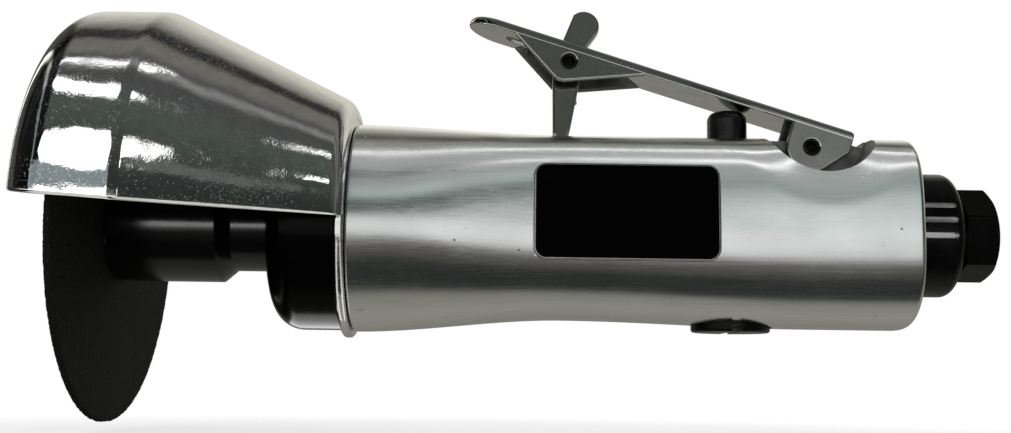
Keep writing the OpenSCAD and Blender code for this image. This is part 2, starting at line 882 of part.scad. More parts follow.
module motor_cylinder() {
    color("gray")
    difference() {
        along_x(x_cyl_front, x_cyl_rear, motor_r);
        translate([0, 0, cylinder_offset])
            along_x(x_cyl_front - over, x_cyl_rear + over, cylinder_bore_d / 2);
        dowel_hole(x_cyl_front - over, x_cyl_rear + over);
        for (i = [1 : exhaust_hole_count])
            translate([cylinder_len * i / (exhaust_hole_count + 1), 0, 0])
                across(x_cyl_front, 0, motor_r + over, exhaust_hole_r);
    }
}
module cylinder_dowel() {
    color("silver")
        translate([0, 0, z_dowel])
            along_x(x_cyl_front - dowel_depth, x_cyl_rear + dowel_depth, dowel_r);
}
module motor_gasket() {
    color("saddlebrown")
    difference() {
        along_x(x_gasket, x_bore_end, motor_r);
        along_x(x_gasket - over, x_bore_end + over, gasket_bore_r);
        translate([0, 0, z_port])
            along_x(x_gasket - over, x_bore_end + over, inlet_port_r);
    }
}
module rotor() {
    x0 = x_cyl_front + rotor_end_gap;
    x1 = x_cyl_rear - rotor_end_gap;
    slot = blade_t + 2 * blade_gap;
    color("silver")
    difference() {
        union() {
            along_x(x_cyl_front - rotor_nose_len, x0, bearing_f_id / 2 - seat_gap);
            along_x(x0, x1, rotor_d / 2);
            along_x(x1, x_gasket, bearing_r_id / 2 - seat_gap);
        }
        for (i = [0 : blade_count - 1])
            rotate([360 * i / blade_count, 0, 0])
                translate([x0 - over, -slot / 2, blade_root_r - blade_gap])
                    cube([x1 - x0 + 2 * over, slot, rotor_d]);
    }
}
module rotor_blades() {
    x0 = x_cyl_front + rotor_end_gap;
    blade_len = cylinder_len - 2 * rotor_end_gap;
    blade_h = rotor_d / 2 + blade_tip_rise - blade_root_r;
    color("sienna")
        for (i = [0 : blade_count - 1])
            rotate([360 * i / blade_count, 0, 0])
                translate([x0, -blade_t / 2, blade_root_r])
                    cube([blade_len, blade_t, blade_h]);
}

// Throttle lever, in a frame that lies along it with its pin at the origin
module lever_frame() {
    translate([x_pivot, 0, z_pivot])
        rotate([0, lever_slope, 0])
            children();
}
module throttle_lever() {
    under = lever_lift - lever_t;
    nose_r = lever_w / 2;
    color("gainsboro")
    lever_frame()
    difference() {
        union() {
            translate([0, 0, under])
                linear_extrude(lever_t) {
                    translate([nose_r - lever_reach, -lever_w / 2])
                        square([lever_reach - nose_r + lever_tail, lever_w]);
                    translate([nose_r - lever_reach, 0])
                        circle(nose_r);
                }
            both_sides(inner_half_w, lever_w / 2) {
                circle(ear_r);
                polygon([
                    [-ear_r, 0],
                    [ear_heel, -ear_heel],
                    [lever_tail, under - ear_back_drop],
                    [lever_tail, lever_lift - lever_t / 2],
                    [-ear_r, lever_lift - lever_t / 2]]);
                polygon([
                    [-lock_ahead - cheek_front, under],
                    [-lock_ahead - cheek_toe, lock_above - cheek_drop],
                    [-lock_ahead, lock_above - cheek_drop],
                    [-lock_ahead + cheek_back, under],
                    [-lock_ahead + cheek_back, lever_lift - lever_t / 2],
                    [-lock_ahead - cheek_front, lever_lift - lever_t / 2]]);
            }
        }
        across(0, 0, lever_w, pin_d / 2 + turn_fit);
        across(-lock_ahead, lock_above, lever_w, pin_d / 2 + seat_gap);
        translate([-lock_ahead - slot_ahead, -lock_t / 2 - track_side_gap, under - over])
            cube([slot_ahead + slot_behind, lock_t + 2 * track_side_gap, lever_t + 2 * over]);
    }
}
module roll_pin(x, z) {
    difference() {
        across(x, z, lever_w / 2, pin_d / 2);
        across(x, z, lever_w, pin_bore_d / 2);
    }
}
module lever_pin() {
    color("dimgray")
        roll_pin(x_pivot, z_pivot);
}
module lock_off_pin() {
    color("dimgray")
        roll_pin(x_lock, z_lock);
}

// Lock-off lever and its torsion spring
foot_len = (z_lock - crown_at(share_at(x_lock)) - foot_gap) / cos(foot_lean);
x_foot_tip = x_lock - foot_len * sin(foot_lean);
module lock_off_lever() {
    tab_r = tab_w / 2;
    color("gainsboro")
    difference() {
        translate([x_lock, 0, z_lock])
            side_plate(-lock_t / 2, lock_t / 2) {
                circle(lock_hub_r);
                rotate(-foot_lean)
                    polygon([
                        [-foot_top_w / 2, 0],
                        [-foot_tip_w / 2, foot_chamfer - foot_len],
                        [foot_chamfer - foot_tip_w / 2, -foot_len],
                        [foot_tip_w / 2 - foot_chamfer, -foot_len],
                        [foot_tip_w / 2, foot_chamfer - foot_len],
                        [foot_top_w / 2, 0]]);
                rotate(-tab_lean) {
                    translate([0, tab_h - tab_r])
                        circle(tab_r);
                    polygon([
                        [-tab_neck_w / 2, 0],
                        [tab_neck_w / 2, 0],
                        [tab_r, tab_h - tab_r],
                        [-tab_r, tab_h - tab_r]]);
                }
            }
        across(x_lock, z_lock, lever_w, pin_d / 2 + turn_fit);
    }
}
// The coil runs away from the lock-off's plate; one leg hooks the foot, one lies along the lever
lock_coil_y = lock_t / 2 + body_gap + lock_wire_r;
lock_coil_end = lock_coil_turns + (90 - lever_slope) / 360;
lock_coil_count = ceil(lock_coil_end * coil_steps);
function lock_coil_point(turn) =
    [lock_coil_r * cos(360 * turn), lock_coil_y + lock_coil_pitch * turn, lock_coil_r * sin(360 * turn)];
function foot_rear(drop) =
    blend(foot_top_w, foot_tip_w, drop / foot_len) / 2 / cos(foot_lean) - drop * tan(foot_lean);
lock_hook_x = foot_rear(lock_hook_drop) + lock_wire_r + lock_hook_gap;
lock_leg_way = [-cos(lever_slope), 0, sin(lever_slope)];
lock_spring_path = concat(
    [[lock_hook_x, 0, -lock_hook_drop],
     [lock_hook_x, lock_coil_y / 2, -lock_hook_drop],
     [lock_hook_x, lock_coil_y - lock_wire_r, -lock_hook_drop + lock_wire_r],
     [lock_coil_r, lock_coil_y, -lock_coil_r]],
    [for (i = [0 : lock_coil_count]) lock_coil_point(lock_coil_end * i / lock_coil_count)],
    [lock_coil_point(lock_coil_end) + lock_leg_way * lock_leg_len / 2,
     lock_coil_point(lock_coil_end) + lock_leg_way * lock_leg_len]);
module lock_off_spring() {
    color("silver")
        translate([x_lock, 0, z_lock])
            skin(wire_rings(lock_spring_path, lock_wire_r, [0, 0, 1]), wire_sides);
}

// Throttle valve
z_crown = crown_at(share_at(x_valve));
// The plunger's rounded top stands a contact gap below the lever's underside
plunger_reach = x_valve - x_pivot + plunger_d / 2 - plunger_round;
plunger_room = lever_lift - lever_t - plunger_contact_gap - plunger_round * (1 - cos(lever_slope));
z_plunger_top = z_pivot + (plunger_room - plunger_reach * sin(lever_slope)) / cos(lever_slope);
z_head_low = z_plunger_top - plunger_head_len;
z_shoulder = z_head_low - bush_shoulder_drop;
z_guide_low = z_shoulder - bush_guide_len;
z_bush_top = z_crown - bush_below_crown;
z_poppet = bush_foot_z - face_gap;
module valve_bush() {
    color("goldenrod")
    difference() {
        upright(bush_foot_z, z_bush_top, bush_d / 2);
        upright(z_shoulder, z_bush_top + over, plunger_d / 2 + run_fit);
        upright(bush_foot_z, z_shoulder + over, stem_d / 2 + run_fit);
        upright(bush_foot_z - over, z_guide_low, bush_chamber_r);
        translate([0, 0, motor_port_z])
            along_x(x_valve - bush_d, x_valve, motor_port_r);
    }
}
module valve_plunger() {
    z_groove = z_head_low + plunger_groove_up;
    color("#181818")
    upright_turned()
        difference() {
            union() {
                mirror([0, 1])
                    rounded_bar(plunger_d / 2, -z_plunger_top, -z_head_low, plunger_round);
                translate([0, z_poppet])
                    square([stem_d / 2, z_head_low - z_poppet + over]);
            }
            translate([plunger_groove_r, z_groove])
                square([plunger_d, plunger_groove_w]);
        }
}
module plunger_o_ring() {
    wire_d = plunger_d / 2 - plunger_groove_r;
    z_mid = z_head_low + plunger_groove_up + plunger_groove_w / 2;
    color("black")
        upright_turned()
            translate([plunger_groove_r + wire_d / 2 + seat_gap, z_mid])
                circle(d = wire_d);
}
module valve_poppet() {
    color("goldenrod") {
        upright(z_poppet - poppet_t, z_poppet, poppet_r);
        upright(z_poppet - poppet_t - poppet_tail_len, z_poppet - poppet_t, poppet_tail_r);
    }
}
valve_spring_top = z_poppet - poppet_t - valve_wire_r - turn_fit;
valve_spring_low = regulator_floor_z + valve_wire_r + turn_fit;
valve_spring_path =
    [for (i = [0 : valve_turns * coil_steps])
        let (u = i / (valve_turns * coil_steps), a = 360 * valve_turns * u)
        [x_valve + valve_coil_r * cos(a), valve_coil_r * sin(a),
         blend(valve_spring_low, valve_spring_top, u)]];
module valve_spring() {
    color("silver")
        skin(wire_rings(valve_spring_path, valve_wire_r, [1, 0, 0]), wire_sides);
}
module regulator() {
    z_low = -rear_bottom - regulator_proud;
    z_head = z_low + regulator_head_t;
    z_top = bush_foot_z - body_gap;
    z_groove = z_head + regulator_groove_up;
    color("#202020")
    difference() {
        upright_turned()
            difference() {
                polygon([
                    [0, z_low],
                    [regulator_d / 2 - regulator_edge, z_low],
                    [regulator_d / 2, z_low + regulator_edge],
                    [regulator_d / 2, z_head],
                    [regulator_body_r, z_head],
                    [regulator_body_r, z_top],
                    [regulator_cup_r, z_top],
                    [regulator_cup_r, regulator_floor_z],
                    [0, regulator_floor_z]]);
                translate([regulator_body_r - o_ring_wire_d + turn_fit, z_groove])
                    square([regulator_d, o_ring_wire_d]);
            }
        translate([0, 0, -air_drill_drop])
            along_x(x_valve, x_valve + regulator_d, regulator_window_r);
        translate([x_valve - regulator_slot_w / 2, -regulator_d, z_low - over])
            cube([regulator_slot_w, 2 * regulator_d, regulator_slot_depth + over]);
    }
}
module regulator_o_ring() {
    z_groove = -rear_bottom - regulator_proud + regulator_head_t + regulator_groove_up;
    color("black")
        upright_turned()
            translate([regulator_body_r - o_ring_wire_d / 2 + turn_fit / 2, z_groove + o_ring_wire_d / 2])
                circle(d = o_ring_wire_d - turn_fit);
}

// Least gaps of the two wound springs to themselves
echo(lock_off_spring_gap = self_gap(lock_spring_path, lock_wire_r, coil_steps - 1));
echo(valve_spring_gap = self_gap(valve_spring_path, valve_wire_r, coil_steps - 1));

housing();
name_plate();
clamp_nut();
guard();
wheel_spindle();
cutting_wheel();
outer_flange();
wheel_screw();
front_end_plate();
rear_end_plate();
motor_cylinder();
cylinder_dowel();
motor_gasket();
rotor();
rotor_blades();
front_bearing_outer_ring();
front_bearing_inner_ring();
front_bearing_balls();
front_bearing_cage();
rear_bearing_outer_ring();
rear_bearing_inner_ring();
rear_bearing_balls();
rear_bearing_cage();
throttle_lever();
lever_pin();
lock_off_lever();
lock_off_pin();
lock_off_spring();
valve_bush();
valve_plunger();
plunger_o_ring();
valve_poppet();
valve_spring();
regulator();
regulator_o_ring();
inlet_bushing();
inlet_o_ring();
inlet_screen();
exhaust_deflector();
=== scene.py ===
import random
from functools import partial
from math import acos, asin, atan, atan2, copysign, cos, dist, hypot, pi, radians, sin, tan

import bmesh
import bpy
import numpy as np
from mathutils import Matrix, Vector

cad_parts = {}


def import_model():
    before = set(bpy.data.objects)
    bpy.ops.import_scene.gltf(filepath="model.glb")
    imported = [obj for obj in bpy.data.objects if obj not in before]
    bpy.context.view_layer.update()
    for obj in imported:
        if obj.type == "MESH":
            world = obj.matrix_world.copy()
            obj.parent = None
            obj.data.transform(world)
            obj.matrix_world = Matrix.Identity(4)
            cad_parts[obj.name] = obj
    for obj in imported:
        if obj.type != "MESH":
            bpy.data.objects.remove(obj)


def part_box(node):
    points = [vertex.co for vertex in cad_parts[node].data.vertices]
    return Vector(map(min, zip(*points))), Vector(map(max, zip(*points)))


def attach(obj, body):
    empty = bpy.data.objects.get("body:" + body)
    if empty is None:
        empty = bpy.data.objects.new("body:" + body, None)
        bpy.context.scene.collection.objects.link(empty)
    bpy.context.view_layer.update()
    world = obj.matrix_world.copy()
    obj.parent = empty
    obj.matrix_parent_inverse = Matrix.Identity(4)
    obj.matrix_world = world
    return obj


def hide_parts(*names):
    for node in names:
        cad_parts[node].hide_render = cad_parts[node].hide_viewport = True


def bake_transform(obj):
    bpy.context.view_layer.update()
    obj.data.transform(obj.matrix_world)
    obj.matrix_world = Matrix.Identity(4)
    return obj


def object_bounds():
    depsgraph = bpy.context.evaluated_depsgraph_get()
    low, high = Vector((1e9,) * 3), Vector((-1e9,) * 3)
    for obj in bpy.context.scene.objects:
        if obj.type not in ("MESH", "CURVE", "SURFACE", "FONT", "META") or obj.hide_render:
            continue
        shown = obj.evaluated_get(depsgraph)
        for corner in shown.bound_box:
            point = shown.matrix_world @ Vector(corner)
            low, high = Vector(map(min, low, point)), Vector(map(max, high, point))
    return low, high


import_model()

# Lengths are in millimetres, in the frame's axes; a mesh is scaled to metres when it becomes a piece
MM = 0.001
# How far a cutting shape runs past what it cuts
OVER = 1.0
cad_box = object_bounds()


# Outlines and meshes
def box(node):
    """Lowest and highest corner of a CAD node, in millimetres."""
    low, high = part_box(node)
    return low / MM, high / MM


def centre_of(node):
    """Middle of a CAD node seen from the side, as (x, z)."""
    low, high = box(node)
    return (low.x + high.x) / 2, (low.z + high.z) / 2


def turn(v, angle):
    c, s = cos(angle), sin(angle)
    return np.array((c * v[0] - s * v[1], s * v[0] + c * v[1]))


def rounded(points, radii, steps=6):
    """The outline with an arc at each corner that has a radius."""
    out = []
    for i, radius in enumerate(radii):
        p = np.array(points[i], float)
        if radius <= 0:
            out.append(tuple(p))
            continue
        a = np.array(points[i - 1], float) - p
        b = np.array(points[(i + 1) % len(points)], float) - p
        a /= np.linalg.norm(a)
        b /= np.linalg.norm(b)
        half = acos(np.clip(a @ b, -1, 1)) / 2
        middle = (a + b) / np.linalg.norm(a + b)
        centre = p + middle * radius / sin(half)
        arm_a = p + a * radius / tan(half) - centre
        arm_b = p + b * radius / tan(half) - centre
        sweep = atan2(arm_a[0] * arm_b[1] - arm_a[1] * arm_b[0], arm_a @ arm_b)
        out += [tuple(centre + turn(arm_a, sweep * k / steps)) for k in range(steps + 1)]
    return out


def arc(centre, radius, start, end, steps):
    """Points of an arc between two angles in degrees."""
    angles = [radians(start + (end - start) * k / steps) for k in range(steps + 1)]
    return [(centre[0] + radius * cos(a), centre[1] + radius * sin(a)) for a in angles]


def circle(centre, radius, count, start=0):
    """Points spaced evenly round a centre, the first at an angle in degrees."""
    return arc(centre, radius, start, start + 360, count)[:-1]


def rect(x0, y0, x1, y1):
    return [(x0, y0), (x1, y0), (x1, y1), (x0, y1)]


def along_x(along, a, b):
    return along, a, b


def upright_at(x):
    """Place for a piece that is turned about a vertical axis."""
    return lambda along, a, b: (x + a, b, along)


def grid(rows, wrap_rows, wrap_points):
    """A mesh over rows of points, closed in the directions that wrap."""
    bm = bmesh.new()
    verts = [[bm.verts.new(p) for p in row] for row in rows]
    count, size = len(rows), len(rows[0])
    for i in range(count if wrap_rows else count - 1):
        for j in range(size if wrap_points else size - 1):
            i1, j1 = (i + 1) % count, (j + 1) % size
            bm.faces.new((verts[i][j], verts[i1][j], verts[i1][j1], verts[i][j1]))
    return bm


def tidy(bm):
    bmesh.ops.remove_doubles(bm, verts=bm.verts, dist=1e-4)
    bmesh.ops.recalc_face_normals(bm, faces=bm.faces)
    return bm


def cap_ends(bm):
    bmesh.ops.holes_fill(bm, edges=[e for e in bm.edges if e.is_boundary], sides=0)
    return bm


def lathe(profile, place=along_x, sides=144, wave=None):
    """An outline of (along, radius) turned about an axis, and closed unless it starts on the axis.

    wave changes the radius from place to place.
    """
    rows = []
    for k in range(sides):
        a = 2 * pi * k / sides
        radii = [r + (wave(x, r, a) if wave else 0) for x, r in profile]
        rows.append([place(x, r * cos(a), r * sin(a)) for (x, _), r in zip(profile, radii)])
    return tidy(grid(rows, True, profile[0][1] > 0))


def side_on(u, v, depth):
    return u, depth, v


def prism(outline, low, high, place=side_on):
    """A closed outline drawn out from low to high; place takes (u, v, depth)."""
    bm = bmesh.new()
    a = [bm.verts.new(place(u, v, low)) for u, v in outline]
    b = [bm.verts.new(place(u, v, high)) for u, v in outline]
    bm.faces.new(a)
    bm.faces.new(list(reversed(b)))
    for i in range(len(outline)):
        bm.faces.new((a[i], a[i - 1], b[i - 1], b[i]))
    return tidy(bm)


def end_on(u, v, depth):
    return depth, u, v


def round_x(angle):
    """Place for a shape that faces out from the spindle's axis at an angle."""
    def place(u, v, depth):
        y, z = turn((-depth, v), angle)
        return u, y, z

    return place


def lever_side(u, v, depth):
    """A point of the throttle lever's own frame, which lies along it with its pin at the origin."""
    c, s = cos(LEVER_SLOPE), sin(LEVER_SLOPE)
    return PIVOT[0] + c * u + s * v, depth, PIVOT[1] - s * u + c * v


def lever_top(u, v, depth):
    return lever_side(u, depth, v)


def tube(path, radius, sides=10):
    """A round wire along a smooth path, carried without twist."""
    path = [Vector(p) for p in path]
    rows = []
    side = Vector((0, 0, 1))
    for i, p in enumerate(path):
        way = (path[min(i + 1, len(path) - 1)] - path[max(i - 1, 0)]).normalized()
        side = (side - way * side.dot(way)).normalized()
        other = way.cross(side)
        angles = [2 * pi * k / sides for k in range(sides)]
        rows.append([p + radius * (cos(a) * side + sin(a) * other) for a in angles])
    return tidy(cap_ends(grid(rows, False, True)))


def paint(bm, index):
    for face in bm.faces:
        face.material_index = index
    return bm


def new_mesh(name, bm, finishes=()):
    """A mesh from a bmesh, which is used up, with finishes by name."""
    mesh = bpy.data.meshes.new(name)
    bm.to_mesh(mesh)
    bm.free()
    for finish in finishes:
        mesh.materials.append(FINISH[finish])
    return mesh


def new_object(name, data):
    obj = bpy.data.objects.new(name, data)
    bpy.context.scene.collection.objects.link(obj)
    return obj


def joined(*parts):
    """Separate closed meshes as one."""
    out = bmesh.new()
    for part in parts:
        mesh = new_mesh("part", part)
        out.from_mesh(mesh)
        bpy.data.meshes.remove(mesh)
    return out


def carve(bm, tools, finishes=(), operation="DIFFERENCE"):
    """The mesh after an exact boolean with each tool; a tool's faces keep their material index."""
    loose = [new_object("loose", new_mesh("loose", part, finishes)) for part in [bm, *tools]]
    target, helpers = loose[0], loose[1:]
    for helper in helpers:
        cut = target.modifiers.new("cut", "BOOLEAN")
        cut.solver = "EXACT"
        cut.operation = operation
        cut.object = helper
    graph = bpy.context.evaluated_depsgraph_get()
    mesh = bpy.data.meshes.new_from_object(target.evaluated_get(graph))
    out = bmesh.new()
    out.from_mesh(mesh)
    for obj in loose:
        data = obj.data
        bpy.data.objects.remove(obj)
        bpy.data.meshes.remove(data)
    bpy.data.meshes.remove(mesh)
    return out


def bevel(bm, edges, width, segments, clamp=False):
    return bmesh.ops.bevel(bm, geom=edges, offset=width, segments=segments, profile=0.5, affect="EDGES",
                           clamp_overlap=clamp)


def soften(bm, width, least=35):
    """Round the edges that are sharper than an angle in degrees."""
    bmesh.ops.dissolve_limit(bm, angle_limit=radians(1), verts=bm.verts, edges=bm.edges)
    edges = [e for e in bm.edges if e.is_manifold and e.calc_face_angle(0) > radians(least)]
    bevel(bm, edges, width, 3, clamp=True)
    return bm


def piece(node, bm, body, slot, finishes=None, sharp=40):
    """A mesh that stands for a CAD node and rides on its body, in the slot's finish or in those named."""
    bmesh.ops.recalc_face_normals(bm, faces=bm.faces)
    mesh = new_mesh(node + "_look", bm, finishes or [slot])
    mesh.transform(Matrix.Scale(MM, 4))
    mesh.shade_smooth()
    mesh.set_sharp_from_angle(angle=radians(sharp))
    obj = new_object(node + "_look", mesh)
    normals = obj.modifiers.new("normals", "WEIGHTED_NORMAL")
    normals.keep_sharp = True
    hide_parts(node)
    if body:
        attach(obj, body)
    return obj


# Finishes, by name
FINISH = {}


def grey(level):
    return level, level, level


def shader(name, colour, metallic, roughness, specular=0.5):
    """The tree of a new finish; a value that is the same all over sits on the shader's socket."""
    material = FINISH[name] = bpy.data.materials.new(name)
    material.use_nodes = True
    bsdf = material.node_tree.nodes["Principled BSDF"]
    bsdf.inputs["Base Color"].default_value = (*colour, 1)
    bsdf.inputs["Metallic"].default_value = metallic
    bsdf.inputs["Roughness"].default_value = roughness
    bsdf.inputs["Specular IOR Level"].default_value = specular
    return material.node_tree


def dress(tree, colour, gloss, normal):
    """Give a finish a colour, a roughness and a normal that vary over its surface."""
    bsdf = tree.nodes["Principled BSDF"]
    for key, value in (("Base Color", colour), ("Roughness", gloss), ("Normal", normal)):
        tree.links.new(value, bsdf.inputs[key])


def add(tree, kind, inputs=None, **settings):
    node = tree.nodes.new("ShaderNode" + kind)
    for key, value in settings.items():
        setattr(node, key, value)
    for key, value in (inputs or {}).items():
        if isinstance(value, bpy.types.NodeSocket):
            tree.links.new(value, node.inputs[key])
        else:
            node.inputs[key].default_value = value
    return node


def mapped(tree, size, shift=0.0):
    """Coordinates in which one unit is a feature of the given size, one for all axes or one for each."""
    place = add(tree, "TexCoord").outputs["Object"]
    scale = [1 / (s * MM) for s in np.broadcast_to(size, 3)]
    return add(tree, "Mapping", {"Vector": place, "Scale": scale, "Location": (shift,) * 3}).outputs[0]


def noise(tree, size, detail=3.0, rough=0.5, shift=0.0):
    inputs = {"Vector": mapped(tree, size, shift), "Scale": 1.0, "Detail": detail, "Roughness": rough}
    return add(tree, "TexNoise", inputs).outputs[0]


def cells(tree, size, shift=0.0):
    inputs = {"Vector": mapped(tree, size, shift), "Scale": 1.0}
    return add(tree, "TexVoronoi", inputs).outputs["Distance"]


def span(tree, value, low, high, to_low, to_high):
    """A value carried from one range to another, held at its ends."""
    inputs = {0: value, 1: low, 2: high, 3: to_low, 4: to_high}
    return add(tree, "MapRange", inputs).outputs[0]


def maths(tree, a, b, operation="MULTIPLY"):
    return add(tree, "Math", {0: a, 1: b}, operation=operation).outputs[0]


def mix_colour(tree, factor, a, b):
    node = add(tree, "Mix", {0: factor}, data_type="RGBA")
    for socket, value in ((node.inputs[6], a), (node.inputs[7], b)):
        if isinstance(value, bpy.types.NodeSocket):
            tree.links.new(value, socket)
        else:
            socket.default_value = (*value, 1)
    return node.outputs[2]


def bump(tree, height, depth, normal=None):
    """A surface normal from a height between 0 and 1, whose full depth is in millimetres."""
    inputs = {"Height": height, "Distance": depth * MM, "Strength": 1.0}
    if normal:
        inputs["Normal"] = normal
    return add(tree, "Bump", inputs).outputs[0]


def shade(tree, value, low, high, a, b):
    """A colour that goes from a to b as a value goes from low to high."""
    return mix_colour(tree, span(tree, value, low, high, 0, 1), a, b)


def worn_edges(tree):
    """Where the surface is convex, as rubbed edges are."""
    point = add(tree, "NewGeometry").outputs["Pointiness"]
    broken = span(tree, noise(tree, 1.1, 4), 0.35, 0.6, 0.3, 1)
    return maths(tree, span(tree, point, 0.52, 0.6, 0, 1), broken)


def aluminium():
    """Cast aluminium, polished along the grip."""
    tree = shader("polished_aluminium", (0.72, 0.73, 0.72), 1, 0.2)
    streaks = noise(tree, (22, 0.22, 0.22), 4, 0.6)
    cloud = noise(tree, (14, 9, 9), 3, 0.5, 4)
    pits = span(tree, cells(tree, 1.9, 7), 0.05, 0.13, 1, 0)
    rare = span(tree, noise(tree, 5, 2, 0.5, 9), 0.62, 0.72, 0, 1)
    pitted = maths(tree, pits, rare)
    tone = shade(tree, streaks, 0.3, 0.7, (0.66, 0.675, 0.665), (0.78, 0.785, 0.78))
    colour = mix_colour(tree, pitted, tone, (0.3, 0.3, 0.29))
    brushed = span(tree, streaks, 0.3, 0.7, 0.15, 0.24)
    gloss = maths(tree, brushed, span(tree, cloud, 0.3, 0.7, 0, 0.08), "ADD")
    waves = bump(tree, cloud, 0.05)
    lines = bump(tree, streaks, 0.004, waves)
    dents = bump(tree, maths(tree, 1.0, pitted, "SUBTRACT"), 0.12, lines)
    dress(tree, colour, gloss, dents)


def rough_casting():
    """The unpolished skin that a casting keeps inside its pockets."""
    tree = shader("rough_casting", (0.32, 0.32, 0.31), 1, 0.6)
    grain = noise(tree, 0.7, 5, 0.65)
    blotch = noise(tree, 4, 3, 0.5, 3)
    colour = shade(tree, blotch, 0.3, 0.7, (0.16, 0.16, 0.155), (0.42, 0.42, 0.41))
    dress(tree, colour, span(tree, grain, 0.3, 0.7, 0.45, 0.75), bump(tree, grain, 0.3))


def chrome(name, light, dark, wave_depth, grain_depth, speck_depth):
    """Bright plating over pressed sheet: slow waves, fine specks and a rubbed tone."""
    tree = shader(name, light, 1, 0.05)
    wave = noise(tree, 8, 2, 0.4)
    where = span(tree, noise(tree, 12, 3, 0.6, 6), 0.42, 0.6, 0.15, 1)
    grain = maths(tree, noise(tree, 0.36, 2, 0.5, 2), where)
    specks = maths(tree, span(tree, cells(tree, 0.4, 2), 0.06, 0.2, 1, 0), where)
    haze = noise(tree, 3.5, 4, 0.6, 1)
    tone = shade(tree, haze, 0.3, 0.75, light, dark)
    gloss = span(tree, haze, 0.35, 0.75, 0.03, 0.08)
    fine = bump(tree, grain, grain_depth, bump(tree, wave, wave_depth))
    dress(tree, tone, gloss, bump(tree, specks, speck_depth, fine))


def black_steel(name, colour, low_gloss, high_gloss, turned, shine, rubbed_to=0.09):
    """Blackened steel with fine turning marks, a blasted grain and edges rubbed grey."""
    tree = shader(name, colour, 0, low_gloss, shine)
    marks = noise(tree, (0.12, 30, 30), 3, 0.6)
    mottle = noise(tree, 0.9, 4, 0.65, 5)
    tone = shade(tree, mottle, 0.35, 0.7, colour, [c * 1.8 for c in colour])
    rubbed = mix_colour(tree, worn_edges(tree), tone, grey(rubbed_to))
    gloss = span(tree, mottle, 0.3, 0.7, low_gloss, high_gloss)
    blasted = bump(tree, noise(tree, 0.3, 2, 0.5, 8), 2.5 * turned)
    dress(tree, rubbed, gloss, bump(tree, marks, turned, blasted))


def abrasive():
    """Resin-bound grit: coarse grains, a few of them bright, over a faint glass weave."""
    tree = shader("abrasive", grey(0.006), 0, 0.9, 0.2)
    grains = cells(tree, 0.42)
    fine = noise(tree, 0.25, 4, 0.7, 2)
    place = add(tree, "SeparateXYZ", {0: mapped(tree, 2.4)})
    wefts = [maths(tree, maths(tree, place.outputs[i], pi), 0.0, "SINE") for i in (1, 2)]
    weave = maths(tree, maths(tree, wefts[0], wefts[0]), maths(tree, wefts[1], wefts[1]), "MAXIMUM")
    tone = shade(tree, fine, 0.35, 0.7, grey(0.003), (0.014, 0.014, 0.013))
    bright = span(tree, noise(tree, 0.5, 2, 0.5, 8), 0.66, 0.72, 0, 1)
    colour = mix_colour(tree, bright, tone, (0.06, 0.058, 0.055))
    gloss = span(tree, fine, 0.3, 0.7, 0.75, 0.95)
    coarse = bump(tree, grains, 0.22, bump(tree, weave, 0.05))
    dress(tree, colour, gloss, bump(tree, fine, 0.06, coarse))


def black_plastic(name, shine):
    """Moulded black nylon with a fine spark texture."""
    tree = shader(name, grey(0.003), 0, 0.3, shine)
    grain = noise(tree, 0.28, 3, 0.6)
    scuff = noise(tree, 2.5, 4, 0.65, 3)
    tone = shade(tree, scuff, 0.35, 0.75, grey(0.002), grey(0.006))
    colour = mix_colour(tree, worn_edges(tree), tone, grey(0.04))
    dress(tree, colour, span(tree, scuff, 0.3, 0.7, 0.2, 0.36), bump(tree, grain, 0.012))


def black_plate():
    """Black anodised sheet, left bare of print."""
    tree = shader("black_plate", grey(0.001), 0, 0.35, 0.02)
    brush = noise(tree, (12, 0.2, 0.2), 3, 0.6)
    dust = noise(tree, 1.6, 5, 0.7, 2)
    colour = shade(tree, dust, 0.4, 0.75, grey(0.0003), grey(0.0016))
    dress(tree, colour, span(tree, dust, 0.3, 0.7, 0.28, 0.42), bump(tree, brush, 0.006))


def bare_metal(name, colour, low_gloss, high_gloss, size, depth):
    """Machined metal with tool marks of the given size."""
    tree = shader(name, colour, 1, low_gloss)
    marks = noise(tree, size, 4, 0.6)
    stain = noise(tree, 3, 4, 0.6, 4)
    tone = shade(tree, stain, 0.3, 0.75, colour, [c * 0.72 for c in colour])
    gloss = span(tree, marks, 0.3, 0.7, low_gloss, high_gloss)
    dress(tree, tone, gloss, bump(tree, marks, depth))


def soft_fibre(name, colour, size):
    """Rubber and fibre with a fine open grain; a near-black one is also painted shade deep in a pin's bore.
    """
    tree = shader(name, colour, 0, 0.7, 0.3)
    grain = noise(tree, size, 4, 0.65)
    tone = shade(tree, grain, 0.3, 0.7, colour, [c * 1.5 for c in colour])
    dress(tree, tone, span(tree, grain, 0.3, 0.7, 0.55, 0.8), bump(tree, grain, 0.02))


# Finishes of the record's slots
aluminium()
chrome("chromed_sheet", (0.8, 0.8, 0.785), (0.66, 0.66, 0.65), 0.13, 0.014, 0.03)
black_steel("gloss_black_steel", (0.0012, 0.0012, 0.0011), 0.13, 0.2, 0.002, 0.06)
black_steel("satin_black_steel", (0.0015, 0.0015, 0.0014), 0.12, 0.2, 0.003, 0.5)
abrasive()
black_plastic("black_plastic", 0.16)
black_plate()
bare_metal("machined_steel", (0.5, 0.5, 0.49), 0.22, 0.4, (0.15, 6, 6), 0.006)
bare_metal("bearing_steel", (0.62, 0.62, 0.63), 0.1, 0.2, (0.2, 4, 4), 0.003)
bare_metal("pin_steel", (0.08, 0.08, 0.078), 0.25, 0.42, (1.2, 0.2, 1.2), 0.006)
bare_metal("spring_steel", (0.12, 0.12, 0.115), 0.25, 0.4, 0.6, 0.006)
bare_metal("brass", (0.62, 0.46, 0.2), 0.2, 0.4, (0.2, 0.2, 2), 0.006)
soft_fibre("fibre", (0.2, 0.09, 0.04), (3, 0.4, 0.4))
soft_fibre("seal_rubber", grey(0.012), 0.5)
